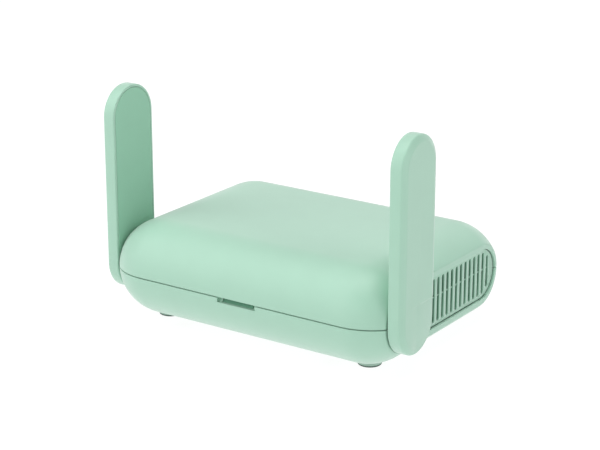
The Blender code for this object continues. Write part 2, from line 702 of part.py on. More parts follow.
def make_grille_plate(side, material):
    """Inset side plate with air slots, a flange behind the casing's rim and a hub for the hinge."""
    name = "grille_plate_" + ("left" if side < 0 else "right")
    face_x, back_x = SIDE_X - PLATE_RECESS, FLANGE_FACE_X - FLANGE_THICKNESS
    edge = shifted(stadium(END_CENTRE_Y + PLATE_RADIUS, PLATE_RADIUS), 0.0, MID_Z)
    low, high = sorted((side * face_x, side * back_x))
    plate = piece(name, outline_mesh([edge], "X", low, high), material)

    flange_radius = OPENING_RADIUS + FLANGE_LIP
    flange_edge = shifted(stadium(END_CENTRE_Y + flange_radius, flange_radius), 0.0, MID_Z)
    hole = shifted(stadium(END_CENTRE_Y + PLATE_RADIUS - RIM, PLATE_RADIUS - RIM), 0.0, MID_Z)
    low, high = sorted((side * FLANGE_FACE_X, side * (back_x - CLEAR)))
    shape(plate, "UNION", tool(name + "_flange", outline_mesh([flange_edge, hole], "X", low, high)))

    low, high = sorted((side * (SIDE_X + WALL), side * (back_x - WALL)))
    slots = bmesh.new()
    for y, half in grille_slots(side):
        add_mesh(slots, outline_mesh([slot_outline(y, half, SLOT_WIDTH)], "X", low, high))
    shape(plate, "DIFFERENCE", tool(name + "_slots", slots))

    hub = bmesh.new()
    add_rod(hub, (side * (BUSH_END_X + CLEAR), HINGE_Y, MID_Z), (side * (face_x - CLEAR), HINGE_Y, MID_Z),
            HUB_RADIUS, BARREL_ROUND)
    shape(plate, "UNION", tool(name + "_hub", hub))
    bore = bmesh.new()
    add_rod(bore, (side * BARREL_END_X, HINGE_Y, MID_Z), (side * (SIDE_X + WALL), HINGE_Y, MID_Z),
            HUB_BORE, BARREL_ROUND)
    if side < 0:
        half_y = MODE_CAP[1] / 2 + MODE_TRAVEL / 2 + MODE_WINDOW_MARGIN
        half_z = MODE_CAP[2] / 2 + MODE_WINDOW_MARGIN
        z = mode_height()
        add_box(bore, (-SIDE_X - WALL, MODE_Y - half_y, z - half_z),
                (-back_x + WALL, MODE_Y + half_y, z + half_z))
    shape(plate, "DIFFERENCE", tool(name + "_holes", bore))
    return plate


# ---------------------------------------------------------------- antennas

def antenna_outline(inset):
    """Paddle outline (y, z) about the hinge axis, at a distance in from its edge."""
    radius = ANTENNA_WIDTH / 2 - inset
    half = ANTENNA_LENGTH / 2 - inset
    middle = (ANTENNA_LENGTH - ANTENNA_WIDTH) / 2
    return [(-v, middle + u) for u, v in stadium(half, radius)]


def antenna_rings():
    """Rings of the paddle from its inner face to the soft crown of its outer face."""
    inner = SIDE_X + ANTENNA_GAP
    outer = inner + ANTENNA_EDGE
    fillet = ANTENNA_FILLET
    levels = [(inner, fillet), (inner + 0.3 * fillet, 0.3 * fillet), (inner + fillet, 0.0),
              (outer - fillet, 0.0), (outer - 0.3 * fillet, 0.3 * fillet)]
    for step in range(4):
        share = step / 3
        levels.append((outer + ANTENNA_CROWN * math.sin(share * math.pi / 2),
                       fillet + (ANTENNA_MARGIN - fillet) * share))
    return [[(x, y, z) for y, z in antenna_outline(inset)] for x, inset in levels]


def make_antenna(side, finishes):
    """One folding antenna with its hinge. Everything that turns hangs on an empty on the hinge axis."""
    label = "left" if side < 0 else "right"
    hinge = bpy.data.objects.new("hinge_axis_" + label, None)
    hinge.location = (0.0, HINGE_Y, MID_Z)
    hinge.rotation_euler = (0.0, 0.0, math.pi if side < 0 else 0.0)
    bpy.data.collections["wifi_range_extender"].objects.link(hinge)

    inner = SIDE_X + ANTENNA_GAP
    ledge = inner + ANTENNA_COVER_THICKNESS + CLEAR
    shell = piece("antenna_shell_" + label, loft(antenna_rings()), finishes["mint"], hinge)
    hollow = outline_mesh([antenna_outline(ANTENNA_CAVITY_INSET)], "X",
                          inner - WALL, ledge + ANTENNA_CAVITY_DEPTH)
    shape(shell, "DIFFERENCE", tool("antenna_cavity_" + label, hollow, hinge))
    seat = outline_mesh([antenna_outline(ANTENNA_COVER_INSET)], "X", inner - WALL, ledge)
    shape(shell, "DIFFERENCE", tool("antenna_cover_seat_" + label, seat, hinge))

    cover_outline = antenna_outline(ANTENNA_COVER_INSET + CLEAR)
    cover_bm = outline_mesh([cover_outline], "X", inner, inner + ANTENNA_COVER_THICKNESS)
    cover = piece("antenna_cover_" + label, cover_bm, finishes["mint"], hinge)
    barrel = bmesh.new()
    add_rod(barrel, (BARREL_END_X, 0, 0), (inner + ANTENNA_COVER_THICKNESS / 2, 0, 0),
            BARREL_RADIUS, BARREL_ROUND)
    shape(cover, "UNION", tool("hinge_barrel_" + label, barrel, hinge))
    bore = bmesh.new()
    add_rod(bore, (BARREL_END_X - WALL, 0, 0), (inner + WALL, 0, 0), BARREL_BORE, SMALL_ROUND)
    shape(cover, "DIFFERENCE", tool("hinge_bore_" + label, bore, hinge))

    washer_x = BUSH_END_X - CLEAR - WASHER_THICKNESS
    clip_x = washer_x - CLEAR - CLIP_THICKNESS
    floor = BARREL_RADIUS - CLIP_DEPTH
    groove = outline_mesh([circle(BARREL_RADIUS + WALL, BARREL_ROUND), circle(floor, BARREL_ROUND)], "X",
                          clip_x - CLEAR / 2, clip_x + CLIP_THICKNESS + CLEAR / 2)
    shape(cover, "DIFFERENCE", tool("clip_groove_" + label, groove, hinge))

    element = bmesh.new()
    feed = ledge + CLEAR
    reach = ANTENNA_LENGTH - ANTENNA_WIDTH
    add_box(element, (feed, -ELEMENT_WIDTH / 2, -ELEMENT_WIDTH / 2),
            (feed + ELEMENT_THICKNESS, ELEMENT_WIDTH / 2, reach))
    piece("antenna_element_" + label, element, finishes["board"], hinge)

    clip = tube_profile(BARREL_RADIUS + CLIP_PROUD, floor + CLEAR / 2, 0.0, CLIP_THICKNESS)
    turned("hinge_clip_" + label, clip, finishes["steel"], (clip_x, 0, 0), "X", hinge, BARREL_ROUND)
    washer = tube_profile(BARREL_RADIUS + WASHER_PROUD, BUSH_BORE, 0.0, WASHER_THICKNESS)
    turned("hinge_washer_" + label, washer, finishes["steel"], (washer_x, 0, 0), "X", hinge, BARREL_ROUND)
    bush_x = min(side * BUSH_END_X, side * (BUSH_END_X + BUSH_LENGTH))
    turned("hinge_bush_" + label, tube_profile(BUSH_RADIUS, BUSH_BORE, 0.0, BUSH_LENGTH),
           finishes["dark"], (bush_x, HINGE_Y, MID_Z), "X", None, BARREL_ROUND)
    make_coax(side, label, feed - CLEAR, finishes)


def circle(radius, steps):
    return [(radius * math.cos(2 * math.pi * k / steps), radius * math.sin(2 * math.pi * k / steps))
            for k in range(steps)]


def smooth_route(points, steps):
    """Points on a smooth curve through a few chosen ones."""
    points = [Vector(p) for p in points]
    ends = [2 * points[0] - points[1]] + points + [2 * points[-1] - points[-2]]
    route = []
    for a, b, c, d in zip(ends, ends[1:], ends[2:], ends[3:]):
        for step in range(steps):
            t = step / steps
            route.append(0.5 * (2 * b + (c - a) * t + (2 * a - 5 * b + 4 * c - d) * t**2
                                + (3 * b - a - 3 * c + d) * t**3))
    return route + [points[-1]]


def make_coax(side, label, feed_x, finishes):
    """Thin antenna lead from its plug on the board, through the hinge, to the antenna's feed point."""
    plug_x = POST_X - COAX_PLUG_INSET[0]
    plug_y = BOARD_FRONT_Y + COAX_PLUG_INSET[1]
    middle = PART_Z + COAX_PLUG_HEIGHT / 2
    turned("coax_plug_" + label, [(0.0, COAX_PLUG_HEIGHT), (COAX_PLUG_RADIUS, COAX_PLUG_HEIGHT),
                                  (COAX_PLUG_RADIUS, 0.0), (0.0, 0.0)],
           finishes["brass"], (side * plug_x, plug_y, PART_Z), steps=SMALL_ROUND)
    start = Vector((plug_x + COAX_PLUG_RADIUS + CLEAR, plug_y, middle))
    points = [start, start + Vector(COAX_LEAVES_PLUG)]
    for inward, behind, below in COAX_RISE:
        points.append((BARREL_END_X - inward, HINGE_Y + behind, MID_Z - below))
    points += [(BARREL_END_X, HINGE_Y, MID_Z), (feed_x, HINGE_Y, MID_Z)]
    curve = bpy.data.curves.new("coax_" + label, "CURVE")
    curve.dimensions = "3D"
    curve.bevel_depth = COAX_RADIUS
    curve.bevel_resolution = 1
    curve.use_fill_caps = True
    spline = curve.splines.new("POLY")
    route = smooth_route(points, 4)
    spline.points.add(len(route) - 1)
    for point, place in zip(spline.points, route):
        point.co = (side * place.x, place.y, place.z, 1.0)
    lead = bpy.data.objects.new("coax_" + label, curve)
    curve.materials.append(finishes["coax"])
    bpy.data.collections["wifi_range_extender"].objects.link(lead)


# ---------------------------------------------------------------- ports and switches

def port_hole(bm, x, size_x, low_z, high_z):
    """Cutter for one port's hole in the panel, with clearance."""
    add_box(bm, (x - size_x / 2 - CLEAR, PANEL_BACK_Y - 2 * WALL, low_z - CLEAR),
            (x + size_x / 2 + CLEAR, PANEL_FACE_Y + WALL, high_z + CLEAR))


def make_port_panel(material):
    """Recessed back panel: a tray whose rim follows the casing, with a lip behind it and port holes."""
    edge = shifted(rounded_rectangle(PANEL_WIDTH, PANEL_HEIGHT, PANEL_CORNER), 0.0, MID_Z)
    panel = piece("port_panel", outline_mesh([edge], "Y", PANEL_BACK_Y, BACK_Y + WALL), material)
    shape(panel, "INTERSECT", casing_core("panel_limit", PANEL_SINK))
    inner = rounded_rectangle(PANEL_WIDTH - 2 * PANEL_RIM, PANEL_HEIGHT - 2 * PANEL_RIM,
                              PANEL_CORNER - PANEL_RIM)
    pocket = outline_mesh([shifted(inner, 0.0, MID_Z)], "Y", PANEL_FACE_Y, BACK_Y + 2 * WALL)
    shape(panel, "DIFFERENCE", tool("panel_pocket", pocket))
    lip = rounded_rectangle(PANEL_WIDTH + 2 * PANEL_LIP, PANEL_HEIGHT + 2 * PANEL_LIP, PANEL_CORNER)
    lip_bm = outline_mesh([shifted(lip, 0.0, MID_Z)], "Y", PANEL_BACK_Y - WALL / 2, PANEL_BACK_Y + CLEAR / 2)
    shape(panel, "UNION", tool("panel_lip", lip_bm))

    holes = bmesh.new()
    for x in (LAN_X, WAN_X):
        port_hole(holes, x, JACK_WIDTH, PART_Z, PART_Z + JACK_HEIGHT)
    port_hole(holes, USB_A_X, USB_A_SIZE[0], PART_Z, PART_Z + USB_A_SIZE[2])
    port_hole(holes, USB_C_X, USB_C_SIZE[0], PART_Z, PART_Z + USB_C_SIZE[2])
    z = PART_Z + RESET_HEIGHT
    add_rod(holes, (RESET_X, PANEL_BACK_Y - 2 * WALL, z), (RESET_X, PANEL_FACE_Y + WALL, z),
            RESET_RADIUS + CLEAR)
    shape(panel, "DIFFERENCE", tool("panel_holes", holes))


def make_jack(name, x, material):
    """Eight-way network jack, open to the back, with the latch's slot below the plug's space."""
    face = PANEL_FACE_Y - JACK_SINK
    bm = bmesh.new()
    add_box(bm, (x - JACK_WIDTH / 2, face - JACK_DEPTH, PART_Z),
            (x + JACK_WIDTH / 2, face, PART_Z + JACK_HEIGHT))
    jack = piece(name, bm, material)
    low = PART_Z + PLUG_FLOOR
    space = bmesh.new()
    add_box(space, (x - PLUG_WIDTH / 2, face - PLUG_DEPTH, low),
            (x + PLUG_WIDTH / 2, face + WALL, low + PLUG_HEIGHT))
    shape(jack, "DIFFERENCE", tool(name + "_space", space))
    latch = bmesh.new()
    add_box(latch, (x - LATCH_WIDTH / 2, face - PLUG_DEPTH + WALL, low - LATCH_HEIGHT),
            (x + LATCH_WIDTH / 2, face + WALL, low + PLUG_HEIGHT / 2))
    shape(jack, "DIFFERENCE", tool(name + "_latch", latch))


def make_usb_a(material):
    width, depth, height = USB_A_SIZE
    face = PANEL_FACE_Y - JACK_SINK
    bm = bmesh.new()
    add_box(bm, (USB_A_X - width / 2, face - depth, PART_Z), (USB_A_X + width / 2, face, PART_Z + height))
    jack = piece("usb_a_jack", bm, material)
    space = bmesh.new()
    floor = face - depth + USB_A_BACK
    add_box(space, (USB_A_X - width / 2 + USB_A_SHELL, floor, PART_Z + USB_A_SHELL),
            (USB_A_X + width / 2 - USB_A_SHELL, face + WALL, PART_Z + height - USB_A_SHELL))
    shape(jack, "DIFFERENCE", tool("usb_a_space", space))
    top = PART_Z + height - 2 * USB_A_SHELL
    tongue = bmesh.new()
    add_box(tongue, (USB_A_X - USB_A_TONGUE[0] / 2, floor - USB_A_BACK / 2, top - USB_A_TONGUE[2]),
            (USB_A_X + USB_A_TONGUE[0] / 2, floor + USB_A_TONGUE[1], top))
    shape(jack, "UNION", tool("usb_a_tongue", tongue))


def make_usb_c(material):
    width, depth, height = USB_C_SIZE
    face = PANEL_FACE_Y - JACK_SINK
    z = PART_Z + height / 2
    outline = shifted(stadium(width / 2, height / 2, 6), USB_C_X, z)
    jack = piece("usb_c_jack", outline_mesh([outline], "Y", face - depth, face), material)
    hollow = shifted(stadium(width / 2 - USB_C_SHELL, height / 2 - USB_C_SHELL, 6), USB_C_X, z)
    floor = face - depth + USB_C_BACK
    space = outline_mesh([hollow], "Y", floor, face + WALL)
    shape(jack, "DIFFERENCE", tool("usb_c_space", space))
    tongue = bmesh.new()
    add_box(tongue, (USB_C_X - USB_C_TONGUE[0] / 2, floor - USB_C_BACK / 2, z - USB_C_TONGUE[2] / 2),
            (USB_C_X + USB_C_TONGUE[0] / 2, floor + USB_C_TONGUE[1], z + USB_C_TONGUE[2] / 2))
    shape(jack, "UNION", tool("usb_c_tongue", tongue))


def make_reset(finishes):
    """Push button in the back panel, running in the bore of its switch on the board."""
    width, depth, height = RESET_SWITCH
    z = PART_Z + RESET_HEIGHT
    switch_face = PANEL_BACK_Y - WALL / 2 - CLEAR - RESET_TRAVEL
    bm = bmesh.new()
    add_box(bm, (RESET_X - width / 2, switch_face - depth, PART_Z),
            (RESET_X + width / 2, switch_face, PART_Z + height))
    switch = piece("reset_switch", bm, finishes["dark"])
    bore = bmesh.new()
    bore_floor = switch_face - depth + SWITCH_BACK
    add_rod(bore, (RESET_X, bore_floor, z), (RESET_X, switch_face + WALL, z), RESET_RADIUS + CLEAR / 2)
    shape(switch, "DIFFERENCE", tool("reset_bore", bore))
    axis = bpy.data.objects.new("reset_axis", None)
    axis.location = (RESET_X, 0.0, z)
    bpy.data.collections["wifi_range_extender"].objects.link(axis)
    button = bmesh.new()
    add_rod(button, (0, bore_floor + RESET_TRAVEL + CLEAR, 0), (0, PANEL_FACE_Y + RESET_PROUD, 0),
            RESET_RADIUS)
    piece("reset_button", button, finishes["mint"], axis)


def mode_height():
    """Height of the mode switch's knob."""
    return PART_Z + MODE_SWITCH[2] / 2


def make_mode_switch(finishes):
    """Sliding mode switch: a housing at the board's left edge and a knob that shows in the grille."""
    depth, length, height = MODE_SWITCH
    z = mode_height()
    outer = -BOARD_TAB_X + CLEAR
    bm = bmesh.new()
    add_box(bm, (outer, MODE_Y - length / 2, PART_Z),
            (outer + depth, MODE_Y + length / 2, PART_Z + height))
    housing = piece("mode_switch", bm, finishes["dark"])
    stem_y, stem_z = MODE_STEM
    half_run = stem_y / 2 + MODE_TRAVEL / 2 + CLEAR
    half_rise = stem_z / 2 + CLEAR / 2
    groove_floor = outer + depth - SWITCH_BACK
    track = bmesh.new()
    add_box(track, (outer - WALL, MODE_Y - half_run, z - half_rise),
            (groove_floor, MODE_Y + half_run, z + half_rise))
    shape(housing, "DIFFERENCE", tool("mode_track", track))

    axis = bpy.data.objects.new("mode_axis", None)
    axis.location = (0.0, MODE_Y - MODE_TRAVEL / 2, z)
    bpy.data.collections["wifi_range_extender"].objects.link(axis)
    cap_out = -SIDE_X + PLATE_RECESS
    knob = bmesh.new()
    cap_x, cap_y, cap_z = MODE_CAP
    add_box(knob, (cap_out, -cap_y / 2, -cap_z / 2), (cap_out + cap_x, cap_y / 2, cap_z / 2))
    slider = piece("mode_slider", knob, finishes["mint"], axis)
    stem = bmesh.new()
    add_box(stem, (cap_out + cap_x / 2, -stem_y / 2, -stem_z / 2),
            (groove_floor - CLEAR, stem_y / 2, stem_z / 2))
    shape(slider, "UNION", tool("mode_stem", stem, axis))


# ---------------------------------------------------------------- board and cooling

def make_board(material):
    """Main circuit board, with side tabs that pass between the casing's pillars."""
    tab = BOARD_TAB_HALF
    x, tab_x = BOARD_HALF_X, BOARD_TAB_X
    outline = [(-x, BOARD_FRONT_Y), (x, BOARD_FRONT_Y), (x, -tab), (tab_x, -tab), (tab_x, tab), (x, tab),
               (x, BOARD_BACK_Y), (-x, BOARD_BACK_Y), (-x, tab), (-tab_x, tab), (-tab_x, -tab), (-x, -tab)]
    holes = [shifted(circle(BOARD_SCREW_RADIUS + CLEAR, SMALL_ROUND), *spot) for spot in POST_SPOTS]
    holes += [shifted(circle(PIN_RADIUS + CLEAR, SMALL_ROUND), *spot) for spot in PIN_SPOTS]
    piece("main_board", outline_mesh([outline] + holes, "Z", BOARD_BOTTOM_Z, BOARD_TOP_Z), material)


def make_board_screws(material):
    profile = screw_profile(BOARD_SCREW_RADIUS, BOARD_SCREW_HEAD, BOARD_SCREW_LENGTH)
    for name, spot in zip(CORNER_NAMES, POST_SPOTS):
        screw = turned("board_screw_" + name, profile, material, (*spot, BOARD_TOP_Z + CLEAR),
                       steps=SMALL_ROUND)
        screw.rotation_euler = (math.pi, 0.0, 0.0)


def make_chip(name, centre, size, material):
    bm = bmesh.new()
    half = Vector((size[0] / 2, size[1] / 2, 0))
    centre = Vector((*centre, PART_Z))
    add_box(bm, centre - half, centre + half + Vector((0, 0, CHIP_HEIGHT)))
    piece(name, bm, material)


def make_chips(finishes):
    half_shield = SHIELD_SIZE[1] / 2
    make_chip("processor", (0.0, SINK_CENTRE_Y), (CPU_SIZE, CPU_SIZE), finishes["chip"])
    make_chip("memory_chip", (-SINK_SIZE / 2 - MEMORY_SIZE[0], SINK_CENTRE_Y), MEMORY_SIZE, finishes["chip"])
    shield_low_x = SINK_SIZE / 2 + SHIELD_FROM_SINK
    shield = bmesh.new()
    add_box(shield, (shield_low_x, -half_shield, PART_Z),
            (shield_low_x + SHIELD_SIZE[0], half_shield, PART_Z + SHIELD_SIZE[2]))
    can = piece("rf_shield", shield, finishes["steel"])
    space = bmesh.new()
    wall = SHIELD_WALL
    add_box(space, (shield_low_x + wall, -half_shield + wall, PART_Z - WALL),
            (shield_low_x + SHIELD_SIZE[0] - wall, half_shield - wall, PART_Z + SHIELD_SIZE[2] - wall))
    shape(can, "DIFFERENCE", tool("shield_space", space))
    make_chip("wifi_chip", (shield_low_x + SHIELD_SIZE[0] / 2, 0.0), WIFI_SIZE, finishes["chip"])
    led_y = BOARD_FRONT_Y + PIPE_LEG
    width, depth, height = LED_SIZE
    led = bmesh.new()
    add_box(led, (-width / 2, led_y - depth / 2, PART_Z), (width / 2, led_y + depth / 2, PART_Z + height))
    piece("status_led", led, finishes["light"])


def make_heatsink(finishes):
    """Thermal pad, finned sink and the two pins that hold the sink down on the board."""
    pad = bmesh.new()
    half = CPU_SIZE / 2
    pad_z = PART_Z + CHIP_HEIGHT + CLEAR
    add_box(pad, (-half, SINK_CENTRE_Y - half, pad_z), (half, SINK_CENTRE_Y + half, pad_z + PAD_THICKNESS))
    piece("thermal_pad", pad, finishes["pad"])

    side = SINK_SIZE / 2
    top = SINK_Z + SINK_BASE
    fin_field = SINK_SIZE - 2 * SINK_EDGE
    pitch = (fin_field - FIN_WIDTH) / (FIN_COUNT - 1)
    outline = [(-side, SINK_Z), (side, SINK_Z), (side, top)]
    for k in reversed(range(FIN_COUNT)):
        left = -fin_field / 2 + k * pitch
        right, tip = left + FIN_WIDTH, top + FIN_HEIGHT
        outline += [(right, top), (right, tip), (left, tip), (left, top)]
    outline.append((-side, top))
    fins = outline_mesh([outline], "Y", SINK_CENTRE_Y - side, SINK_CENTRE_Y + side)
    sink = piece("heatsink", fins, finishes["sink"])
    posts = bmesh.new()
    for spot in FAN_SCREW_SPOTS:
        add_post(posts, spot, SINK_Z + SINK_BASE / 2, FAN_Z - CLEAR, 2 * PIN_RADIUS, SMALL_ROUND)
    shape(sink, "UNION", tool("sink_posts", posts))
    holes = bmesh.new()
    for spot in FAN_SCREW_SPOTS:
        add_post(holes, spot, SINK_Z + SINK_BASE, FAN_Z + WALL, BOARD_SCREW_RADIUS + CLEAR / 2, SMALL_ROUND)
    for spot in PIN_SPOTS:
        add_post(holes, spot, SINK_Z - WALL, FAN_Z + WALL, PIN_RADIUS + CLEAR, SMALL_ROUND)
    shape(sink, "DIFFERENCE", tool("sink_holes", holes))

    length = SINK_Z + SINK_BASE + CLEAR - BOARD_BOTTOM_Z + PIN_TAIL
    profile = screw_profile(PIN_RADIUS, (2 * PIN_RADIUS, PIN_HEAD_HEIGHT), length)
    for name, spot in zip(("left", "right"), PIN_SPOTS):
        pin = turned("heatsink_pin_" + name, profile, finishes["dark"], (*spot, SINK_Z + SINK_BASE + CLEAR),
                     steps=SMALL_ROUND)
        pin.rotation_euler = (math.pi, 0.0, 0.0)


def make_fan(finishes):
    """Flat axial fan: a square frame with a bearing, a wound stator, and a rotor that spins on it."""
    x, y = FAN_CENTRE.x, FAN_CENTRE.y
    half = FAN_SIZE / 2
    bore = half - FAN_RIM
    top = FAN_Z + FAN_HEIGHT
    edge = shifted(rounded_rectangle(FAN_SIZE, FAN_SIZE, FAN_SCREW_INSET), x, y)
    holes = [shifted(circle(bore, 2 * ROUND), x, y)]
    holes += [shifted(circle(BOARD_SCREW_RADIUS + CLEAR, SMALL_ROUND), *spot) for spot in FAN_SCREW_SPOTS]
    frame = piece("fan_frame", outline_mesh([edge] + holes, "Z", FAN_Z, top), finishes["dark"])
    bearing_radius = FAN_SHAFT_RADIUS + FAN_SHAFT_GAP + FAN_BEARING_WALL
    base = bmesh.new()
    add_post(base, (x, y), FAN_Z, FAN_Z + FAN_PLATE, FAN_HUB_RADIUS - 2 * CLEAR)
    base = tool("fan_base", base)
    for k in range(3):
        angle = math.pi / 2 + 2 * math.pi * k / 3
        strut = bmesh.new()
        add_box(strut, (FAN_HUB_RADIUS / 2, -FAN_STRUT / 2, FAN_Z),
                (bore + FAN_RIM / 2, FAN_STRUT / 2, FAN_Z + FAN_PLATE))
        strut.transform(Matrix.Translation(FAN_CENTRE) @ Matrix.Rotation(angle, 4, "Z"))
        shape(base, "UNION", tool("fan_strut_%d" % k, strut))
    tower = bmesh.new()
    tower_top = top - FAN_HUB_WALL - 2 * CLEAR
    add_post(tower, (x, y), FAN_Z + FAN_PLATE / 2, tower_top, bearing_radius, SMALL_ROUND)
    shape(base, "UNION", tool("fan_tower", tower))
    shape(frame, "UNION", base)
    shaft_hole = bmesh.new()
    shaft_low = FAN_Z + FAN_PLATE / 2
    add_post(shaft_hole, (x, y), shaft_low, top, FAN_SHAFT_RADIUS + FAN_SHAFT_GAP, SMALL_ROUND)
    shape(frame, "DIFFERENCE", tool("fan_shaft_hole", shaft_hole))

    stator_low = FAN_Z + FAN_PLATE + CLEAR
    stator_inner = bearing_radius + CLEAR / 2
    winding = tube_profile(stator_inner + STATOR_WALL, stator_inner, stator_low, tower_top - CLEAR)
    turned("fan_stator", winding, finishes["brass"], (x, y, 0.0))

    spin = bpy.data.objects.new("fan_axis", None)
    spin.location = (x, y, 0.0)
    bpy.data.collections["wifi_range_extender"].objects.link(spin)
    hub_low = FAN_Z + FAN_PLATE + 2 * CLEAR
    under_cap = top - FAN_HUB_WALL - CLEAR
    skirt = FAN_HUB_RADIUS - FAN_HUB_WALL
    shaft_end = shaft_low + CLEAR
    cap = top - CLEAR
    profile = [(0.0, cap), (FAN_HUB_RADIUS, cap), (FAN_HUB_RADIUS, hub_low), (skirt, hub_low),
               (skirt, under_cap), (FAN_SHAFT_RADIUS, under_cap), (FAN_SHAFT_RADIUS, shaft_end),
               (0.0, shaft_end)]
    rotor = turned("fan_rotor", profile, finishes["dark"], (0, 0, 0), parent=spin)
    tip = bore - FAN_TIP_GAP
    chord = (cap - hub_low - CLEAR) / math.cos(math.radians(FAN_BLADE_TILT))
    for k in range(FAN_BLADES):
        blade = bmesh.new()
        inner = FAN_HUB_RADIUS - FAN_HUB_WALL / 2
        low = -chord / 2 + FAN_BLADE_THICKNESS / 2
        add_box(blade, (inner, -FAN_BLADE_THICKNESS / 2, low), (tip, FAN_BLADE_THICKNESS / 2, -low))
        place = Matrix.Translation((0, 0, (cap + hub_low) / 2))
        turn = Matrix.Rotation(2 * math.pi * k / FAN_BLADES, 4, "Z")
        tilt = Matrix.Rotation(math.radians(FAN_BLADE_TILT), 4, "X")
        blade.transform(place @ turn @ tilt)
        shape(rotor, "UNION", tool("fan_blade_%d" % k, blade, spin))

    profile = screw_profile(BOARD_SCREW_RADIUS, BOARD_SCREW_HEAD, FAN_HEIGHT + FIN_HEIGHT - FAN_SCREW_SHORT)
    for name, spot in zip(("front", "back"), FAN_SCREW_SPOTS):
        screw = turned("fan_screw_" + name, profile, finishes["zinc"], (*spot, top + CLEAR),
                       steps=SMALL_ROUND)
        screw.rotation_euler = (math.pi, 0.0, 0.0)


def main():
    clear_scene()
    finishes = make_finishes()
    core = casing_core("casing_core", WALL / 2)
    openings = side_openings()
    ports = port_opening()
    make_top_cover(finishes["mint"], core, openings, ports)
    make_bottom_cover(finishes["mint"], core, openings, ports)
    make_feet(finishes["rubber"])
    make_case_screws(finishes["zinc"])
    make_light_pipe(finishes["light"])
    for side in (-1, 1):
        make_grille_plate(side, finishes["grille"])
        make_antenna(side, finishes)
    make_port_panel(finishes["grille"])
    make_jack("lan_jack", LAN_X, finishes["dark"])
    make_jack("wan_jack", WAN_X, finishes["dark"])
    make_usb_a(finishes["steel"])
    make_usb_c(finishes["steel"])
    make_reset(finishes)
    make_mode_switch(finishes)
    make_board(finishes["board"])
    make_board_screws(finishes["zinc"])
    make_chips(finishes)
    make_heatsink(finishes)
    make_fan(finishes)


main()
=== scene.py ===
"""Looks of a palm-sized Wi-Fi router and range extender with two folding paddle antennas.

Everything is in metres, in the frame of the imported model: +Z is up, -Y is the front, and the origin is
on the table under the middle of the body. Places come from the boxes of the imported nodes.
"""
import json
import math

import bmesh
import bpy
from mathutils import Matrix, Vector


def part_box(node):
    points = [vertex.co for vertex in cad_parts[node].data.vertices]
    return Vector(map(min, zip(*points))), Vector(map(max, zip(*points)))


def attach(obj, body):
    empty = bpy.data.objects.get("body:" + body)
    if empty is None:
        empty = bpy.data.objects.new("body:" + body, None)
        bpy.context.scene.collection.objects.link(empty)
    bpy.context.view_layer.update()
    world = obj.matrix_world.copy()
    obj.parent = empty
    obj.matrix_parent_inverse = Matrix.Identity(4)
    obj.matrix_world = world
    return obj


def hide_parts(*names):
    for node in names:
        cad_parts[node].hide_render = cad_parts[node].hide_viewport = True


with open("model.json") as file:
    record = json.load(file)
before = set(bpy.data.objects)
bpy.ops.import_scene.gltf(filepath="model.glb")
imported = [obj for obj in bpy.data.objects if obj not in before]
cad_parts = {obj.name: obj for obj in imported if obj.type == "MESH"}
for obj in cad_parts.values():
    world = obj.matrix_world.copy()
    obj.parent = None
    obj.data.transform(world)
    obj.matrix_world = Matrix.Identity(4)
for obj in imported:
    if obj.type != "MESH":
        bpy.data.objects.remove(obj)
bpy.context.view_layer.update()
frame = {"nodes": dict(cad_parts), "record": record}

MM = 0.001

# Casing, whose section is a stadium: its end radius shrinks along a round shoulder
SHOULDER_RADIUS = 18.5 * MM
SHOULDER_RUN = 13.6 * MM
WALL = 1.8 * MM
CLEAR = 0.3 * MM
CORNERS = ("front_left", "front_right", "back_left", "back_right")
RIM_FILLET = 0.9 * MM
LIP_FILLET = 0.2 * MM
SEAM_GAP = 0.42 * MM
SEAM_FILLET = 0.08 * MM

# Posts, screws, vents and the port opening of the covers
TOP_POST_RADIUS = 3.0 * MM
BOTTOM_POST_RADIUS = 3.4 * MM
BOARD_POST_RADIUS = 2.6 * MM
BORE_RADIUS = 1.5 * MM
BORE_DEPTH = 9.7 * MM
BOARD_BORE_RADIUS = 1.05 * MM
HEAD_HEIGHT = 1.8 * MM
HEAD_POCKET_RADIUS = 2.6 * MM
SHANK_RADIUS = 1.2 * MM
VENT_COUNT = 9
VENT_PITCH = 3.6 * MM
VENT_HALF_LENGTH = 12.0 * MM
VENT_RADIUS = 0.8 * MM
PORT_WIDTH = 72.6 * MM
PORT_HEIGHT = 19.3 * MM
PORT_CORNER = 3.8 * MM

# Finger notch, as depths below the joint and distances in from the front, and the light pipe
NOTCH_HALF_WIDTH = 7.7 * MM
NOTCH_MOUTH_DEPTH = 1.9 * MM
NOTCH_FLOOR_DEPTH = 1.75 * MM
NOTCH_BACK_DEPTH = 0.8 * MM
NOTCH_EDGE = 0.05 * MM
NOTCH_LEDGE = 1.1 * MM
NOTCH_BACK = 1.65 * MM
PIPE_THICKNESS = 1.3 * MM
PIPE_SLANT = 1.3 * MM
PIPE_LEG = 2.0 * MM
PIPE_GAP = 0.03 * MM

# Side plates
LIP_RADIUS = 8.9 * MM
LIP_SHIFT = 0.6 * MM
PLATE_RECESS = 0.75 * MM
PLATE_GAP = 0.2 * MM
PLATE_BACK = 50.5 * MM
SLOT_PITCH = 3.0 * MM
SLOT_WIDTH = 1.5 * MM
SLOT_SHIFT = 2.1 * MM
SLOT_NUMBERS = range(-6, 11)
SLOT_FRONT = -14.9 * MM
SLIDER_SPACE = 7.0 * MM
FIELD_RADIUS = 7.7 * MM
RIB_HEIGHT = 0.4 * MM
RIB_RISE = 1.15 * MM
RIB_DEPTH = 0.35 * MM

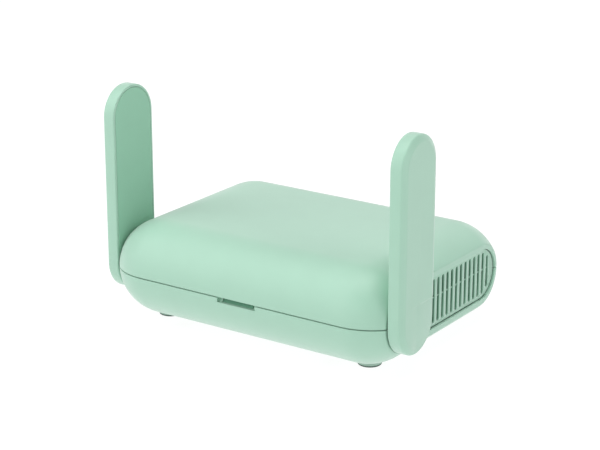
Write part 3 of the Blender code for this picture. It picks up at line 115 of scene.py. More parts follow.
# Antennas
ANTENNA_CROWN = 1.05 * MM
ANTENNA_MARGIN = 2.3 * MM
CROWN_INSETS = (0.3, 0.5, 0.8, 1.1, 1.4, 1.7, 2.0, 2.3, 2.6, 2.8, 3.0, 3.3, 4.0, 5.0, 6.2, 7.6, 9.0, 10.0)
DOME_SHARE = 0.82
ANTENNA_FILLET = 0.45 * MM
COVER_INSET = 0.95 * MM
COVER_SEAM = 0.12 * MM
COVER_THICKNESS = 1.0 * MM
COVER_LEDGE = 1.3 * MM
POCKET_INSET = 3.0 * MM
POCKET_DEPTH = 2.2 * MM
EDGE_BREAK = 0.08 * MM
PADDLE_HEIGHTS = (0, 1.4, 2.8, 4.0, 5.0, 5.7, 6.1, 6.4, 6.6, 6.8, 7.0, 7.3, 7.8, 8.6)
PADDLE_SPACING = 2.4 * MM
BARREL_RADIUS = 3.65 * MM
BARREL_BORE_RADIUS = 1.6 * MM
GROOVE_OUTER_RADIUS = 5.0 * MM
GROOVE_INNER_RADIUS = 2.8 * MM

# Camera, at the angle of the reference view
CAMERA_PLACE = (335.1 * MM, -496.9 * MM, 230.1 * MM)
CAMERA_TURN = (71.804, 0.0, 34.259)
CAMERA_LENS = 110.5
SENSOR_WIDTH = 36.0

# Studio: soft lights as name, azimuth, elevation, size and power
LIGHT_DISTANCE = 1.2
LIGHT_TARGET = (0.0, 0.0, 30.0 * MM)
LIGHTS = (("top_light", 0.0, 90.0, 1.0, 10.5),
          ("right_light", 90.0, 20.0, 0.8, 4.4),
          ("left_front_light", -45.0, 20.0, 0.8, 3.8),
          ("left_key", -56.0, 50.0, 0.8, 3.6),
          ("front_light", 0.0, 20.0, 0.8, 2.9),
          ("back_light", 180.0, 20.0, 0.8, 2.5),
          ("left_back_light", -135.0, 20.0, 0.8, 2.0),
          ("right_front_light", 45.0, 20.0, 0.8, 1.4))
WORLD_STRENGTH = 0.02
FLOOR_GLOW = 0.92
FLOOR_TONE = 0.15
FLOOR_SIZE = 4.0
FLOOR_DROP = 0.02 * MM


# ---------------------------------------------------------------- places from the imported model

def middle(node):
    low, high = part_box(node)
    return (low + high) / 2


TOP_LOW, TOP_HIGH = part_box("top_cover")
BOTTOM_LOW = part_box("bottom_cover")[0]
SIDE_X = TOP_HIGH.x
SHOULDER_X = SIDE_X - SHOULDER_RUN
HALF_DEPTH = TOP_HIGH.y
BODY_RADIUS = (TOP_HIGH.z - BOTTOM_LOW.z) / 2
MID_Z = (TOP_HIGH.z + BOTTOM_LOW.z) / 2
END_CENTRE_Y = HALF_DEPTH - BODY_RADIUS
FLOOR_Z = BOTTOM_LOW.z + WALL


# ---------------------------------------------------------------- mesh helpers

def finish_mesh(name, bm, smooth_angle=35.0):
    """Object from a mesh, smooth except at its edges."""
    bmesh.ops.remove_doubles(bm, verts=bm.verts, dist=0.0005 * MM)
    bmesh.ops.recalc_face_normals(bm, faces=bm.faces)
    mesh = bpy.data.meshes.new(name)
    bm.to_mesh(mesh)
    bm.free()
    item = bpy.data.objects.new(name, mesh)
    bpy.context.scene.collection.objects.link(item)
    mesh.shade_smooth()
    mesh.set_sharp_from_angle(angle=math.radians(smooth_angle))
    return item


def skin(rings):
    """Open skin over rings of equally many points, and the rows of its points."""
    bm = bmesh.new()
    rows = [[bm.verts.new(point) for point in ring] for ring in rings]
    count = len(rows[0])
    for row, following in zip(rows, rows[1:]):
        for k in range(count):
            n = (k + 1) % count
            bm.faces.new((row[k], row[n], following[n], following[k]))
    return bm, rows


def loft(rings):
    """Skin over rings, with a flat face on each end."""
    bm, rows = skin(rings)
    bm.faces.new(reversed(rows[0]))
    bm.faces.new(rows[-1])
    return bm


def prism(outline, axis, low, high):
    """Solid with a flat outline (u, v) along an axis."""
    place = {"X": lambda u, v, w: (w, u, v),
             "Y": lambda u, v, w: (u, w, v),
             "Z": lambda u, v, w: (u, v, w)}
    return loft([[place[axis](u, v, w) for u, v in outline] for w in (low, high)])


def box_mesh(low, high):
    corners = [(low[0], low[1]), (high[0], low[1]), (high[0], high[1]), (low[0], high[1])]
    return prism(corners, "Z", low[2], high[2])


def circle(radius, steps=48, u=0.0, v=0.0):
    return [(u + radius * math.cos(2 * math.pi * k / steps), v + radius * math.sin(2 * math.pi * k / steps))
            for k in range(steps)]


def stadium(half_length, radius, steps=24, u=0.0, v=0.0):
    """Long rounded outline about (u, v), anticlockwise from its right-hand end."""
    outline = []
    for centre, start in ((half_length - radius, -0.5), (radius - half_length, 0.5)):
        for step in range(steps + 1):
            angle = math.pi * (start + step / steps)
            outline.append((u + centre + radius * math.cos(angle), v + radius * math.sin(angle)))
    return outline


def rounded_rectangle(width, height, corner, steps=8, u=0.0, v=0.0):
    outline = []
    for quarter, (sx, sy) in enumerate(((1, -1), (1, 1), (-1, 1), (-1, -1))):
        for step in range(steps + 1):
            angle = math.pi / 2 * (quarter - 1 + step / steps)
            outline.append((u + sx * (width / 2 - corner) + corner * math.cos(angle),
                            v + sy * (height / 2 - corner) + corner * math.sin(angle)))
    return outline


def bake(item):
    """Keep the shape that an object's modifier gives it, and drop the modifier."""
    depsgraph = bpy.context.evaluated_depsgraph_get()
    shaped = bpy.data.meshes.new_from_object(item.evaluated_get(depsgraph))
    item.modifiers.clear()
    item.data = shaped


def combine(item, operation, bm):
    """Cut, join or trim an object with a mesh, for good."""
    other = finish_mesh("shaper", bm)
    step = item.modifiers.new("shape", "BOOLEAN")
    step.operation = operation
    step.object = other
    bake(item)
    bpy.data.objects.remove(other)


def soften(item, width):
    """Round every hard edge a little, for good."""
    bevel = item.modifiers.new("soft_edges", "BEVEL")
    bevel.width = width
    bevel.segments = 2
    bevel.limit_method = "ANGLE"
    bevel.angle_limit = math.radians(40.0)
    bevel.use_clamp_overlap = True
    bevel.harden_normals = True
    bake(item)


def taken(item):
    """The mesh of an object that is no longer needed."""
    bm = bmesh.new()
    bm.from_mesh(item.data)
    bpy.data.objects.remove(item)
    return bm


def resharpen(item, angle=35.0):
    item.data.shade_smooth()
    item.data.set_sharp_from_angle(angle=math.radians(angle))


def settle(item, name, body, slot, material, *nodes):
    """Name a piece, give it its material, and let it ride on its body in place of its nodes."""
    item.name = name
    item.data.name = name
    item.data.materials.clear()
    item.data.materials.append(material)
    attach(item, body)
    if nodes:
        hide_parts(*nodes)


# ---------------------------------------------------------------- materials

def linear(*rgb):
    """Colour for a shader from display values of 0 to 255."""
    return [((c / 255 + 0.055) / 1.055) ** 2.4 if c > 10 else c / 255 / 12.92 for c in rgb]


def add_node(tree, kind, **settings):
    node = tree.nodes.new("ShaderNode" + kind)
    for key, value in settings.items():
        if hasattr(node, key):
            setattr(node, key, value)
        else:
            node.inputs[key].default_value = value
    return node


def textured(name, rgb, roughness, variation=0.04, grain=0.12 * MM, depth=0.006 * MM, spread=0.06,
             metallic=0.0, stretch=(1, 1, 1), specular=0.5, sheen=0.0, blotch=9.0 * MM):
    """Material whose colour, roughness and surface vary finely: a fine grain over a broad drift of tone."""
    material = bpy.data.materials.new(name)
    material.use_nodes = True
    tree = material.node_tree
    shader = tree.nodes["Principled BSDF"]
    shader.inputs["Metallic"].default_value = metallic
    shader.inputs["Specular IOR Level"].default_value = specular
    shader.inputs["Sheen Weight"].default_value = sheen
    place = add_node(tree, "TexCoord")
    mapping = add_node(tree, "Mapping")
    mapping.inputs["Scale"].default_value = stretch
    tree.links.new(place.outputs["Object"], mapping.inputs["Vector"])

    broad = add_node(tree, "TexNoise", Scale=1 / blotch, Detail=3.0, Roughness=0.55)
    fine = add_node(tree, "TexNoise", Scale=1 / grain, Detail=2.0, Roughness=0.6)
    for texture in (broad, fine):
        tree.links.new(mapping.outputs["Vector"], texture.inputs["Vector"])

    tone = add_node(tree, "ValToRGB")
    base = linear(*rgb)
    tone.color_ramp.elements[0].position = 0.3
    tone.color_ramp.elements[0].color = (*[c * (1 - variation) for c in base], 1.0)
    tone.color_ramp.elements[1].position = 0.7
    tone.color_ramp.elements[1].color = (*[min(1.0, c * (1 + variation)) for c in base], 1.0)
    tree.links.new(broad.outputs["Fac"], tone.inputs["Fac"])
    tree.links.new(tone.outputs["Color"], shader.inputs["Base Color"])

    rough = add_node(tree, "MapRange")
    rough.inputs["To Min"].default_value = roughness - spread
    rough.inputs["To Max"].default_value = roughness + spread
    tree.links.new(fine.outputs["Fac"], rough.inputs["Value"])
    tree.links.new(rough.outputs["Result"], shader.inputs["Roughness"])

    bump = add_node(tree, "Bump", Strength=1.0, Distance=depth)
    tree.links.new(fine.outputs["Fac"], bump.inputs["Height"])
    tree.links.new(bump.outputs["Normal"], shader.inputs["Normal"])
    return material


def painted_shade_ramp(material, axis, start, end, rgb):
    """Blend a material's colour from a painted shade colour to its own along an object axis, by distance from
    the origin.
    """
    tree = material.node_tree
    shader = tree.nodes["Principled BSDF"]
    source = shader.inputs["Base Color"].links[0].from_socket
    place = add_node(tree, "TexCoord")
    axes = add_node(tree, "SeparateXYZ")
    tree.links.new(place.outputs["Object"], axes.inputs["Vector"])
    distance = add_node(tree, "Math", operation="ABSOLUTE")
    tree.links.new(axes.outputs[axis], distance.inputs[0])
    share = add_node(tree, "MapRange")
    share.inputs["From Min"].default_value = start
    share.inputs["From Max"].default_value = end
    tree.links.new(distance.outputs["Value"], share.inputs["Value"])
    mix = add_node(tree, "MixRGB")
    mix.inputs["Color1"].default_value = (*linear(*rgb), 1.0)
    tree.links.new(share.outputs["Result"], mix.inputs["Fac"])
    tree.links.new(source, mix.inputs["Color2"])
    tree.links.new(mix.outputs["Color"], shader.inputs["Base Color"])
    return material


def moulded(name):
    """Fine matt mint-green plastic."""
    return textured(name, (155, 200, 177), 0.5, variation=0.012, spread=0.04, specular=1.0, sheen=0.5)


def make_materials():
    face = SIDE_X - PLATE_RECESS
    return {
        "mint": moulded("mint_plastic"),
        "panel": moulded("panel_plastic"),
        # Painted shade: the inner antenna covers are the mint plastic made darker and greener, standing for
        # the shade and green bounce light on the faces turned toward the body.
        "inner": textured("inner_plastic_painted_shade", (149, 199, 173), 0.55, variation=0.012, spread=0.04),
        # Painted shade: the grille plastic turns deep green with depth behind its face, inside the air slots.
        "grille": painted_shade_ramp(moulded("grille_plastic"), "X", face - 0.7 * MM, face - 0.14 * MM, (52, 128, 90)),
        # Painted shadow: the rubber turns dark in its lowest half millimetre above the table, a painted
        # contact shadow at the soles.
        "rubber": painted_shade_ramp(textured("grey_rubber", (158, 186, 172), 0.8, variation=0.05, grain=0.25 * MM,
                                  depth=0.02 * MM), "Z", 0.5 * MM, 0.75 * MM, (62, 84, 75)),
        # Painted shade: the light pipe is tinted a darker green than the body, standing for the shade inside
        # the finger notch.
        "light": textured("green_pipe_painted_notch_shade", (104, 156, 130), 0.4, variation=0.03),
        "lens": textured("milky_lens", (205, 222, 213), 0.35, variation=0.02),
        "dark": textured("black_plastic", (34, 36, 38), 0.5, variation=0.08),
        "steel": textured("tinned_steel", (176, 178, 182), 0.32, metallic=1.0, grain=0.5 * MM,
                          stretch=(1, 8, 1)),
        "zinc": textured("zinc_plate", (158, 160, 165), 0.36, metallic=1.0, variation=0.08),
        "board": textured("solder_mask", (22, 74, 44), 0.38, variation=0.12, blotch=2.5 * MM),
        "chip": textured("chip_resin", (38, 39, 42), 0.6, variation=0.06),
        "pad": textured("silicone_pad", (150, 160, 175), 0.8, variation=0.05),
        "sink": textured("anodised_aluminium", (172, 176, 182), 0.42, metallic=1.0, stretch=(1, 12, 1)),
        "coax": textured("coax_jacket", (46, 48, 50), 0.5, variation=0.06),
        "brass": textured("gilt_brass", (206, 170, 96), 0.3, metallic=1.0, variation=0.05),
    }


# ---------------------------------------------------------------- casing

def casing_stations(inset=0.0, fillet=RIM_FILLET):
    """(x, radius) of the casing's outer surface along one half, from the middle to the end rim."""
    big = SHOULDER_RADIUS - inset
    centre_r = BODY_RADIUS - SHOULDER_RADIUS
    stations = [(SHOULDER_X * k / 6, centre_r + big) for k in range(7)]
    run = SHOULDER_RUN - fillet
    turn = math.asin(run / (big - fillet))
    rim_r = centre_r + (big - fillet) * math.cos(turn)
    for k in range(1, 25):
        angle = turn * k / 24
        stations.append((SHOULDER_X + big * math.sin(angle), centre_r + big * math.cos(angle)))
    for k in range(1, 9):
        angle = turn + (math.pi / 2 - turn) * k / 8
        stations.append((SIDE_X - fillet + fillet * math.sin(angle), rim_r + fillet * math.cos(angle)))
    return stations


def inner_radius(x):
    """Inner radius of the casing at a distance from the middle, with the lip round the side plate."""
    run = max(0.0, x - SHOULDER_X)
    plain = BODY_RADIUS - SHOULDER_RADIUS + math.sqrt((SHOULDER_RADIUS - WALL)**2 - run**2)
    lip = LIP_RADIUS
    if x > SIDE_X - LIP_FILLET:
        lip += LIP_FILLET - math.sqrt(max(0.0, LIP_FILLET**2 - (x - SIDE_X + LIP_FILLET)**2))
    return max(plain, lip)


def half_section(radius, fillet, upward, centre_y, steps=22):
    """Half of the casing's section, from the front edge of the joint over to the back edge, as (y, z)."""
    gap = SEAM_GAP / 2
    points = []
    for k in range(4):
        angle = math.pi / 2 * k / 4
        points.append((radius - fillet + fillet * math.sin(angle), gap + fillet * (1 - math.cos(angle))))
    start = math.asin((gap + fillet) / radius)
    for k in range(steps + 1):
        angle = start + (math.pi / 2 - start) * k / steps
        points.append((radius * math.cos(angle), radius * math.sin(angle)))
    front = [(-centre_y - r, MID_Z + upward * z) for r, z in points]
    back = [(centre_y + r, MID_Z + upward * z) for r, z in reversed(points)]
    return front + back


def half_casing(name, upward):
    """One half of the casing as a closed shell with a rounded rim and a rounded joint edge."""
    right = casing_stations()
    stations = [(-x, r) for x, r in reversed(right[1:])] + right
    rings = []
    for x, radius in stations:
        outer = half_section(radius, SEAM_FILLET, upward, END_CENTRE_Y)
        share = min(1.0, max(0.0, (abs(x) - SHOULDER_X) / (PLATE_BACK - SHOULDER_X)))
        inner = half_section(min(inner_radius(abs(x)), radius - 0.2 * WALL), 0.02 * MM, upward,
                             END_CENTRE_Y + LIP_SHIFT * share)
        rings.append([(x, y, z) for y, z in outer + inner[::-1]])
    bm, rows = skin(rings)
    count = len(rows[0])
    for row in (rows[0], rows[-1]):
        for k in range(count // 2 - 1):
            bm.faces.new((row[k], row[k + 1], row[count - 2 - k], row[count - 1 - k]))
    return finish_mesh(name, bm)


def casing_core(inset):
    """The whole casing as one solid, a little smaller all round."""
    right = [(min(x, SIDE_X - inset), r) for x, r in casing_stations(inset, 0.3 * MM)]
    stations = [(-x, r) for x, r in reversed(right[1:])] + right
    rings = []
    for x, radius in stations:
        outline = stadium(END_CENTRE_Y + radius, radius, 24, 0.0, MID_Z)
        rings.append([(x, y, z) for y, z in outline])
    return loft(rings)


def upright(spot, radius, low, high, steps=40):
    return prism(circle(radius, steps, *spot), "Z", low, high)


def screw_spots():
    return {name: middle("case_screw_" + name).xy for name in CORNERS}


def post_spots():
    return [middle("board_screw_" + name).xy for name in CORNERS]


def port_opening():
    """Rounded opening in the casing's back for the port panel."""
    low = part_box("port_panel")[0]
    outline = rounded_rectangle(PORT_WIDTH, PORT_HEIGHT, PORT_CORNER, 10, 0.0, MID_Z)
    return prism(outline, "Y", low.y - WALL, HALF_DEPTH + WALL)


def make_top(material):
    cover = half_casing("top_shell", 1)
    combine(cover, "DIFFERENCE", port_opening())
    for spot in screw_spots().values():
        post = finish_mesh("post", upright(spot, TOP_POST_RADIUS, TOP_LOW.z, TOP_HIGH.z + WALL))
        combine(post, "INTERSECT", casing_core(WALL / 2))
        combine(cover, "UNION", taken(post))
        combine(cover, "DIFFERENCE", upright(spot, BORE_RADIUS, TOP_LOW.z - WALL, TOP_LOW.z + BORE_DEPTH))
    resharpen(cover)
    settle(cover, "top_shell", "casing", "mint", material, "top_cover")


def make_bottom(material):
    cover = half_casing("bottom_shell", -1)
    combine(cover, "DIFFERENCE", port_opening())
    pillar_top = TOP_LOW.z - CLEAR
    board_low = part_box("main_board")[0].z
    posts = [(spot, BOTTOM_POST_RADIUS, pillar_top) for spot in screw_spots().values()]
    posts += [(spot, BOARD_POST_RADIUS, board_low - CLEAR) for spot in post_spots()]
    for spot, radius, top in posts:
        post = finish_mesh("post", upright(spot, radius, 0.0, top))
        combine(post, "INTERSECT", casing_core(WALL / 2))
        combine(cover, "UNION", taken(post))
    for name, spot in screw_spots().items():
        head_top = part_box("case_screw_" + name)[0].z + HEAD_HEIGHT + CLEAR
        combine(cover, "DIFFERENCE", upright(spot, HEAD_POCKET_RADIUS, 0.0, head_top))
        combine(cover, "DIFFERENCE", upright(spot, BORE_RADIUS, head_top - CLEAR, pillar_top + WALL))
    for spot in post_spots():
        combine(cover, "DIFFERENCE", upright(spot, BOARD_BORE_RADIUS, FLOOR_Z, pillar_top + WALL))
    for name in CORNERS:
        low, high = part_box("foot_" + name)
        combine(cover, "DIFFERENCE", upright(middle("foot_" + name).xy, (high.x - low.x) / 2 + CLEAR / 2,
                                             0.0, high.z + CLEAR))
    slot = stadium(VENT_HALF_LENGTH, VENT_RADIUS, 10)
    for k in range(VENT_COUNT):
        x = (k - VENT_COUNT // 2) * VENT_PITCH
        combine(cover, "DIFFERENCE", prism([(x + v, u) for u, v in slot], "Z", 0.0, 2 * FLOOR_Z))
    cut_notch(cover)
    resharpen(cover)
    settle(cover, "bottom_shell", "casing", "mint", material, "bottom_cover")


def cut_notch(cover):
    """Finger notch under the joint at the front, with a sloping floor and the light pipe's slot behind it."""
    front = -HALF_DEPTH
    top = MID_Z + WALL
    pipe_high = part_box("light_pipe")[1]
    floor = pipe_high.z - PIPE_THICKNESS - PIPE_GAP
    slot_half = pipe_high.x + CLEAR
    profile = [(front - WALL, MID_Z - NOTCH_MOUTH_DEPTH), (front + NOTCH_EDGE, MID_Z - NOTCH_FLOOR_DEPTH),
               (front + NOTCH_LEDGE, floor), (front + NOTCH_BACK, MID_Z - NOTCH_BACK_DEPTH),
               (front + NOTCH_BACK, top), (front - WALL, top)]
    combine(cover, "DIFFERENCE", prism(profile, "X", -NOTCH_HALF_WIDTH, NOTCH_HALF_WIDTH))
    combine(cover, "DIFFERENCE", box_mesh((-slot_half, front + NOTCH_LEDGE, floor),
                                          (slot_half, front + 2 * WALL, top)))


def make_pipe(material):
    """Light pipe: a flat guide with a slanted end in the notch and a leg down to the light on the board."""
    low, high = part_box("light_pipe")
    under, leg = high.z - PIPE_THICKNESS, high.y - PIPE_LEG
    profile = [(low.y, under), (leg, under), (leg, low.z), (high.y, low.z), (high.y, high.z),
               (low.y + PIPE_SLANT, high.z)]
    pipe = finish_mesh("pipe", prism(profile, "X", low.x, high.x))
    # The pipe's material is tinted darker as painted shade of the notch.
    settle(pipe, "notch_light_pipe", "casing", "light", material, "light_pipe")


# ---------------------------------------------------------------- side grilles

def slot_field(side):
    """Places and half heights of the upright air slots on one side."""
    slots = []
    for k in SLOT_NUMBERS:
        y = (k + 0.5) * SLOT_PITCH + (SLOT_SHIFT if side > 0 else 0.0)
        beyond = max(0.0, abs(y) - END_CENTRE_Y)
        if y < SLOT_FRONT or beyond > FIELD_RADIUS - SLOT_WIDTH:
            continue
        if side < 0 and abs(y) < SLIDER_SPACE:
            continue
        slots.append((y, math.sqrt(FIELD_RADIUS**2 - beyond**2)))
    return slots


def span(side, one, other):
    """Two distances from the middle as an ordered pair of places on one side."""
    return sorted((side * one, side * other))


def plate_outline(radius, steps=48):
    return stadium(END_CENTRE_Y + LIP_SHIFT + radius, radius, steps, 0.0, MID_Z)


def make_grille(side, materials):
    """Side plate with its air slots, soft edges, a hub for the hinge and a rib behind the slots."""
    label = "left" if side < 0 else "right"
    node = "grille_plate_" + label
    face = SIDE_X - PLATE_RECESS
    plate_radius = LIP_RADIUS - PLATE_GAP
    plate = finish_mesh(node, prism(plate_outline(plate_radius), "X", *span(side, face, PLATE_BACK)))
    through = span(side, face + WALL, PLATE_BACK - WALL)
    for y, half in slot_field(side):
        slot = [(y - v, MID_Z + u) for u, v in stadium(half, SLOT_WIDTH / 2, 8)]
        combine(plate, "DIFFERENCE", prism(slot, "X", *through))
    hinge = middle("hinge_bush_" + label)
    bush_low, bush_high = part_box("hinge_bush_" + label)
    bore = (bush_high.z - bush_low.z) / 2 + CLEAR
    combine(plate, "DIFFERENCE", prism(circle(bore, 64, hinge.y, hinge.z), "X", *through))
    if side < 0:
        low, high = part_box("mode_slider")
        window = rounded_rectangle(7.8 * MM, 3.8 * MM, 0.5 * MM, 5, (low.y + high.y) / 2 + 1.0 * MM,
                                   (low.z + high.z) / 2)
        combine(plate, "DIFFERENCE", prism(window, "X", *through))
    soften(plate, 0.12 * MM)
    hub_end = min(abs(bush_low.x), abs(bush_high.x)) + CLEAR
    hub = finish_mesh("hub", prism(circle(bore + 1.4 * MM, 64, hinge.y, hinge.z), "X",
                                   *span(side, hub_end, PLATE_BACK + CLEAR)))
    combine(hub, "DIFFERENCE", prism(circle(bore, 64, hinge.y, hinge.z), "X",
                                     *span(side, hub_end - WALL, face)))
    combine(plate, "UNION", taken(hub))
    flange = finish_mesh("flange", prism(plate_outline(LIP_RADIUS + 0.7 * MM), "X",
                                         *span(side, PLATE_BACK - CLEAR, PLATE_BACK + 4 * CLEAR)))
    combine(flange, "DIFFERENCE", prism(plate_outline(plate_radius - 1.2 * MM), "X", *through))
    combine(plate, "UNION", taken(flange))
    if side > 0:
        low, high = span(side, face - RIB_DEPTH, PLATE_BACK + CLEAR)
        rib = box_mesh((low, -16.0 * MM, MID_Z + RIB_RISE - RIB_HEIGHT / 2),
                       (high, END_CENTRE_Y + 5.5 * MM, MID_Z + RIB_RISE + RIB_HEIGHT / 2))
        combine(plate, "UNION", rib)
    resharpen(plate)
    # Its material paints shade into the air slots, darker with depth.
    settle(plate, "side_grille_" + label, "casing", "grille", materials["grille"], node)


def make_slider(material):
    """Knob of the mode switch: a ridged cap on a stem that reaches in to the switch."""
    low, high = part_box("mode_slider")
    middle_y, middle_z = (low.y + high.y) / 2, (low.z + high.z) / 2
    cap_back = low.x + 1.6 * MM
    cap = rounded_rectangle(high.y - low.y, high.z - low.z, 0.4 * MM, 5, middle_y, middle_z)
    knob = finish_mesh("knob", prism(cap, "X", low.x, cap_back))
    for k in (-1, 0, 1):
        y = middle_y + k * 1.2 * MM
        combine(knob, "DIFFERENCE", box_mesh((low.x - WALL, y - 0.25 * MM, low.z + 0.5 * MM),
                                             (low.x + 0.35 * MM, y + 0.25 * MM, high.z - 0.5 * MM)))
    soften(knob, 0.1 * MM)
    stem = box_mesh((cap_back - 0.2 * MM, middle_y - 1.0 * MM, middle_z - 0.6 * MM),
                    (high.x, middle_y + 1.0 * MM, middle_z + 0.6 * MM))
    combine(knob, "UNION", stem)
    resharpen(knob)
    settle(knob, "mode_knob", "mode_slider", "mint", material, "mode_slider")


# ---------------------------------------------------------------- back panel and its ports

def grown(node, extra):
    low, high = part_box(node)
    return rounded_rectangle(high.x - low.x + 2 * extra, high.z - low.z + 2 * extra, 0.4 * MM, 5,
                             (low.x + high.x) / 2, (low.z + high.z) / 2)


def make_panel(material):
    """Recessed back panel: a raised rim that follows the casing, a flat face and the ports' openings."""
    low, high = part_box("port_panel")
    back, face = low.y + 0.9 * MM, low.y + 2.9 * MM
    width, height = high.x - low.x - 1.7 * MM, high.z - low.z - 1.7 * MM
    panel = finish_mesh("panel", prism(rounded_rectangle(width, height, 3.5 * MM, 10, 0.0, MID_Z), "Y",
                                       back, HALF_DEPTH + WALL))
    combine(panel, "INTERSECT", casing_core(0.35 * MM))
    pocket = rounded_rectangle(width - 2.4 * MM, height - 2.4 * MM, 2.3 * MM, 10, 0.0, MID_Z)
    combine(panel, "DIFFERENCE", prism(pocket, "Y", face, HALF_DEPTH + 2 * WALL))
    deep, far = low.y - WALL, face + WALL
    for node in ("lan_jack", "wan_jack", "usb_a_jack"):
        combine(panel, "DIFFERENCE", prism(grown(node, CLEAR), "Y", deep, far))
    usb = middle("usb_c_jack")
    usb_low, usb_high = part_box("usb_c_jack")
    half_width, half_height = (usb_high.x - usb_low.x) / 2 + CLEAR, (usb_high.z - usb_low.z) / 2 + CLEAR
    combine(panel, "DIFFERENCE", prism(stadium(half_width, half_height, 12, usb.x, usb.z), "Y", deep, far))
    button_low, button_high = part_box("reset_button")
    button = middle("reset_button")
    radius = (button_high.x - button_low.x) / 2 + CLEAR
    combine(panel, "DIFFERENCE", prism(circle(radius, 40, button.x, button.z), "Y", deep, far))
    soften(panel, 0.15 * MM)
    outline = rounded_rectangle(high.x - low.x, high.z - low.z, 3.5 * MM, 10, 0.0, MID_Z)
    lip = finish_mesh("lip", prism(outline, "Y", low.y, back + 0.15 * MM))
    inside = rounded_rectangle(width - 1.0 * MM, height - 1.0 * MM, 3.0 * MM, 10, 0.0, MID_Z)
    combine(lip, "DIFFERENCE", prism(inside, "Y", low.y - WALL, back + WALL))
    combine(panel, "UNION", taken(lip))
    resharpen(panel, 20.0)
    settle(panel, "back_panel", "casing", "grille", material, "port_panel")


def make_contacts(name, boxes, material):
    """Several thin straight contacts in one piece."""
    bm = bmesh.new()
    for low, high in boxes:
        part = bmesh.ops.create_cube(bm, size=1.0)
        size = Vector(high) - Vector(low)
        shift = Matrix.Translation((Vector(low) + Vector(high)) / 2) @ Matrix.Diagonal((*size, 1.0))
        bmesh.ops.transform(bm, matrix=shift, verts=part["verts"])
    settle(finish_mesh(name, bm), name, "casing", "brass", material)


def make_network_jack(node, materials):
    """Eight-way jack: a keyed opening with the latch's slot at the bottom and gilt contacts at the top."""
    low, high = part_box(node)
    mid_x = (low.x + high.x) / 2
    jack = finish_mesh(node, box_mesh(low, high))
    plug_low, plug_high = low.z + 3.5 * MM, low.z + 11.1 * MM
    floor = high.y - 13.0 * MM
    combine(jack, "DIFFERENCE", box_mesh((mid_x - 6.0 * MM, floor, plug_low),
                                         (mid_x + 6.0 * MM, high.y + WALL, plug_high)))
    combine(jack, "DIFFERENCE", box_mesh((mid_x - 3.1 * MM, floor + WALL, plug_low - 2.2 * MM),
                                         (mid_x + 3.1 * MM, high.y + WALL, plug_low + WALL)))
    for side in (-1, 1):
        first, last = sorted((mid_x + side * 3.0 * MM, mid_x + side * 4.4 * MM))
        combine(jack, "DIFFERENCE", box_mesh((first, floor + 2 * WALL, plug_low - 0.9 * MM),
                                             (last, high.y + WALL, plug_low + WALL)))
    soften(jack, 0.18 * MM)
    resharpen(jack)
    settle(jack, node.replace("jack", "socket"), "casing", "dark", materials["dark"], node)
    bm = bmesh.new()
    for k in range(8):
        x = mid_x + (k - 3.5) * 1.02 * MM
        half = 0.18 * MM
        path = [(high.y - 3.2 * MM, plug_high - 0.05 * MM), (high.y - 4.2 * MM, plug_high - 0.5 * MM),
                (floor + 2.4 * MM, plug_high - 2.6 * MM), (floor + 0.1 * MM, plug_high - 2.9 * MM)]
        rows = [[bm.verts.new((x + u, y, z + v)) for u, v in ((-half, -half), (half, -half), (half, half),
                                                              (-half, half))] for y, z in path]
        for row, following in zip(rows, rows[1:]):
            for n in range(4):
                bm.faces.new((row[n], row[(n + 1) % 4], following[(n + 1) % 4], following[n]))
        bm.faces.new(rows[0])
        bm.faces.new(rows[-1])
    name = node.replace("jack", "contacts")
    settle(finish_mesh(name, bm), name, "casing", "brass", materials["brass"])


def make_usb_a(materials):
    low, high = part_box("usb_a_jack")
    mid_x, mid_z = (low.x + high.x) / 2, (low.z + high.z) / 2
    width, height = high.x - low.x, high.z - low.z
    shell = finish_mesh("shell", prism(rounded_rectangle(width, height, 0.7 * MM, 6, mid_x, mid_z),
                                       "Y", low.y, high.y))
    hollow = rounded_rectangle(width - 0.9 * MM, height - 0.9 * MM, 0.4 * MM, 6, mid_x, mid_z)
    combine(shell, "DIFFERENCE", prism(hollow, "Y", low.y + 2.0 * MM, high.y + WALL))
    soften(shell, 0.08 * MM)
    resharpen(shell)
    settle(shell, "usb_a_shell", "casing", "steel", materials["steel"], "usb_a_jack")
    top = high.z - 0.9 * MM
    tongue = finish_mesh("tongue", box_mesh((mid_x - 5.55 * MM, low.y + 1.5 * MM, top - 1.9 * MM),
                                            (mid_x + 5.55 * MM, low.y + 11.0 * MM, top)))
    soften(tongue, 0.15 * MM)
    settle(tongue, "usb_a_tongue", "casing", "dark", materials["dark"])
    pins = []
    for x in (-3.5, -1.0, 1.0, 3.5):
        pins.append(((mid_x + (x - 0.5) * MM, low.y + 3.0 * MM, top - 2.0 * MM),
                     (mid_x + (x + 0.5) * MM, low.y + 10.2 * MM, top - 1.85 * MM)))
    make_contacts("usb_a_contacts", pins, materials["brass"])


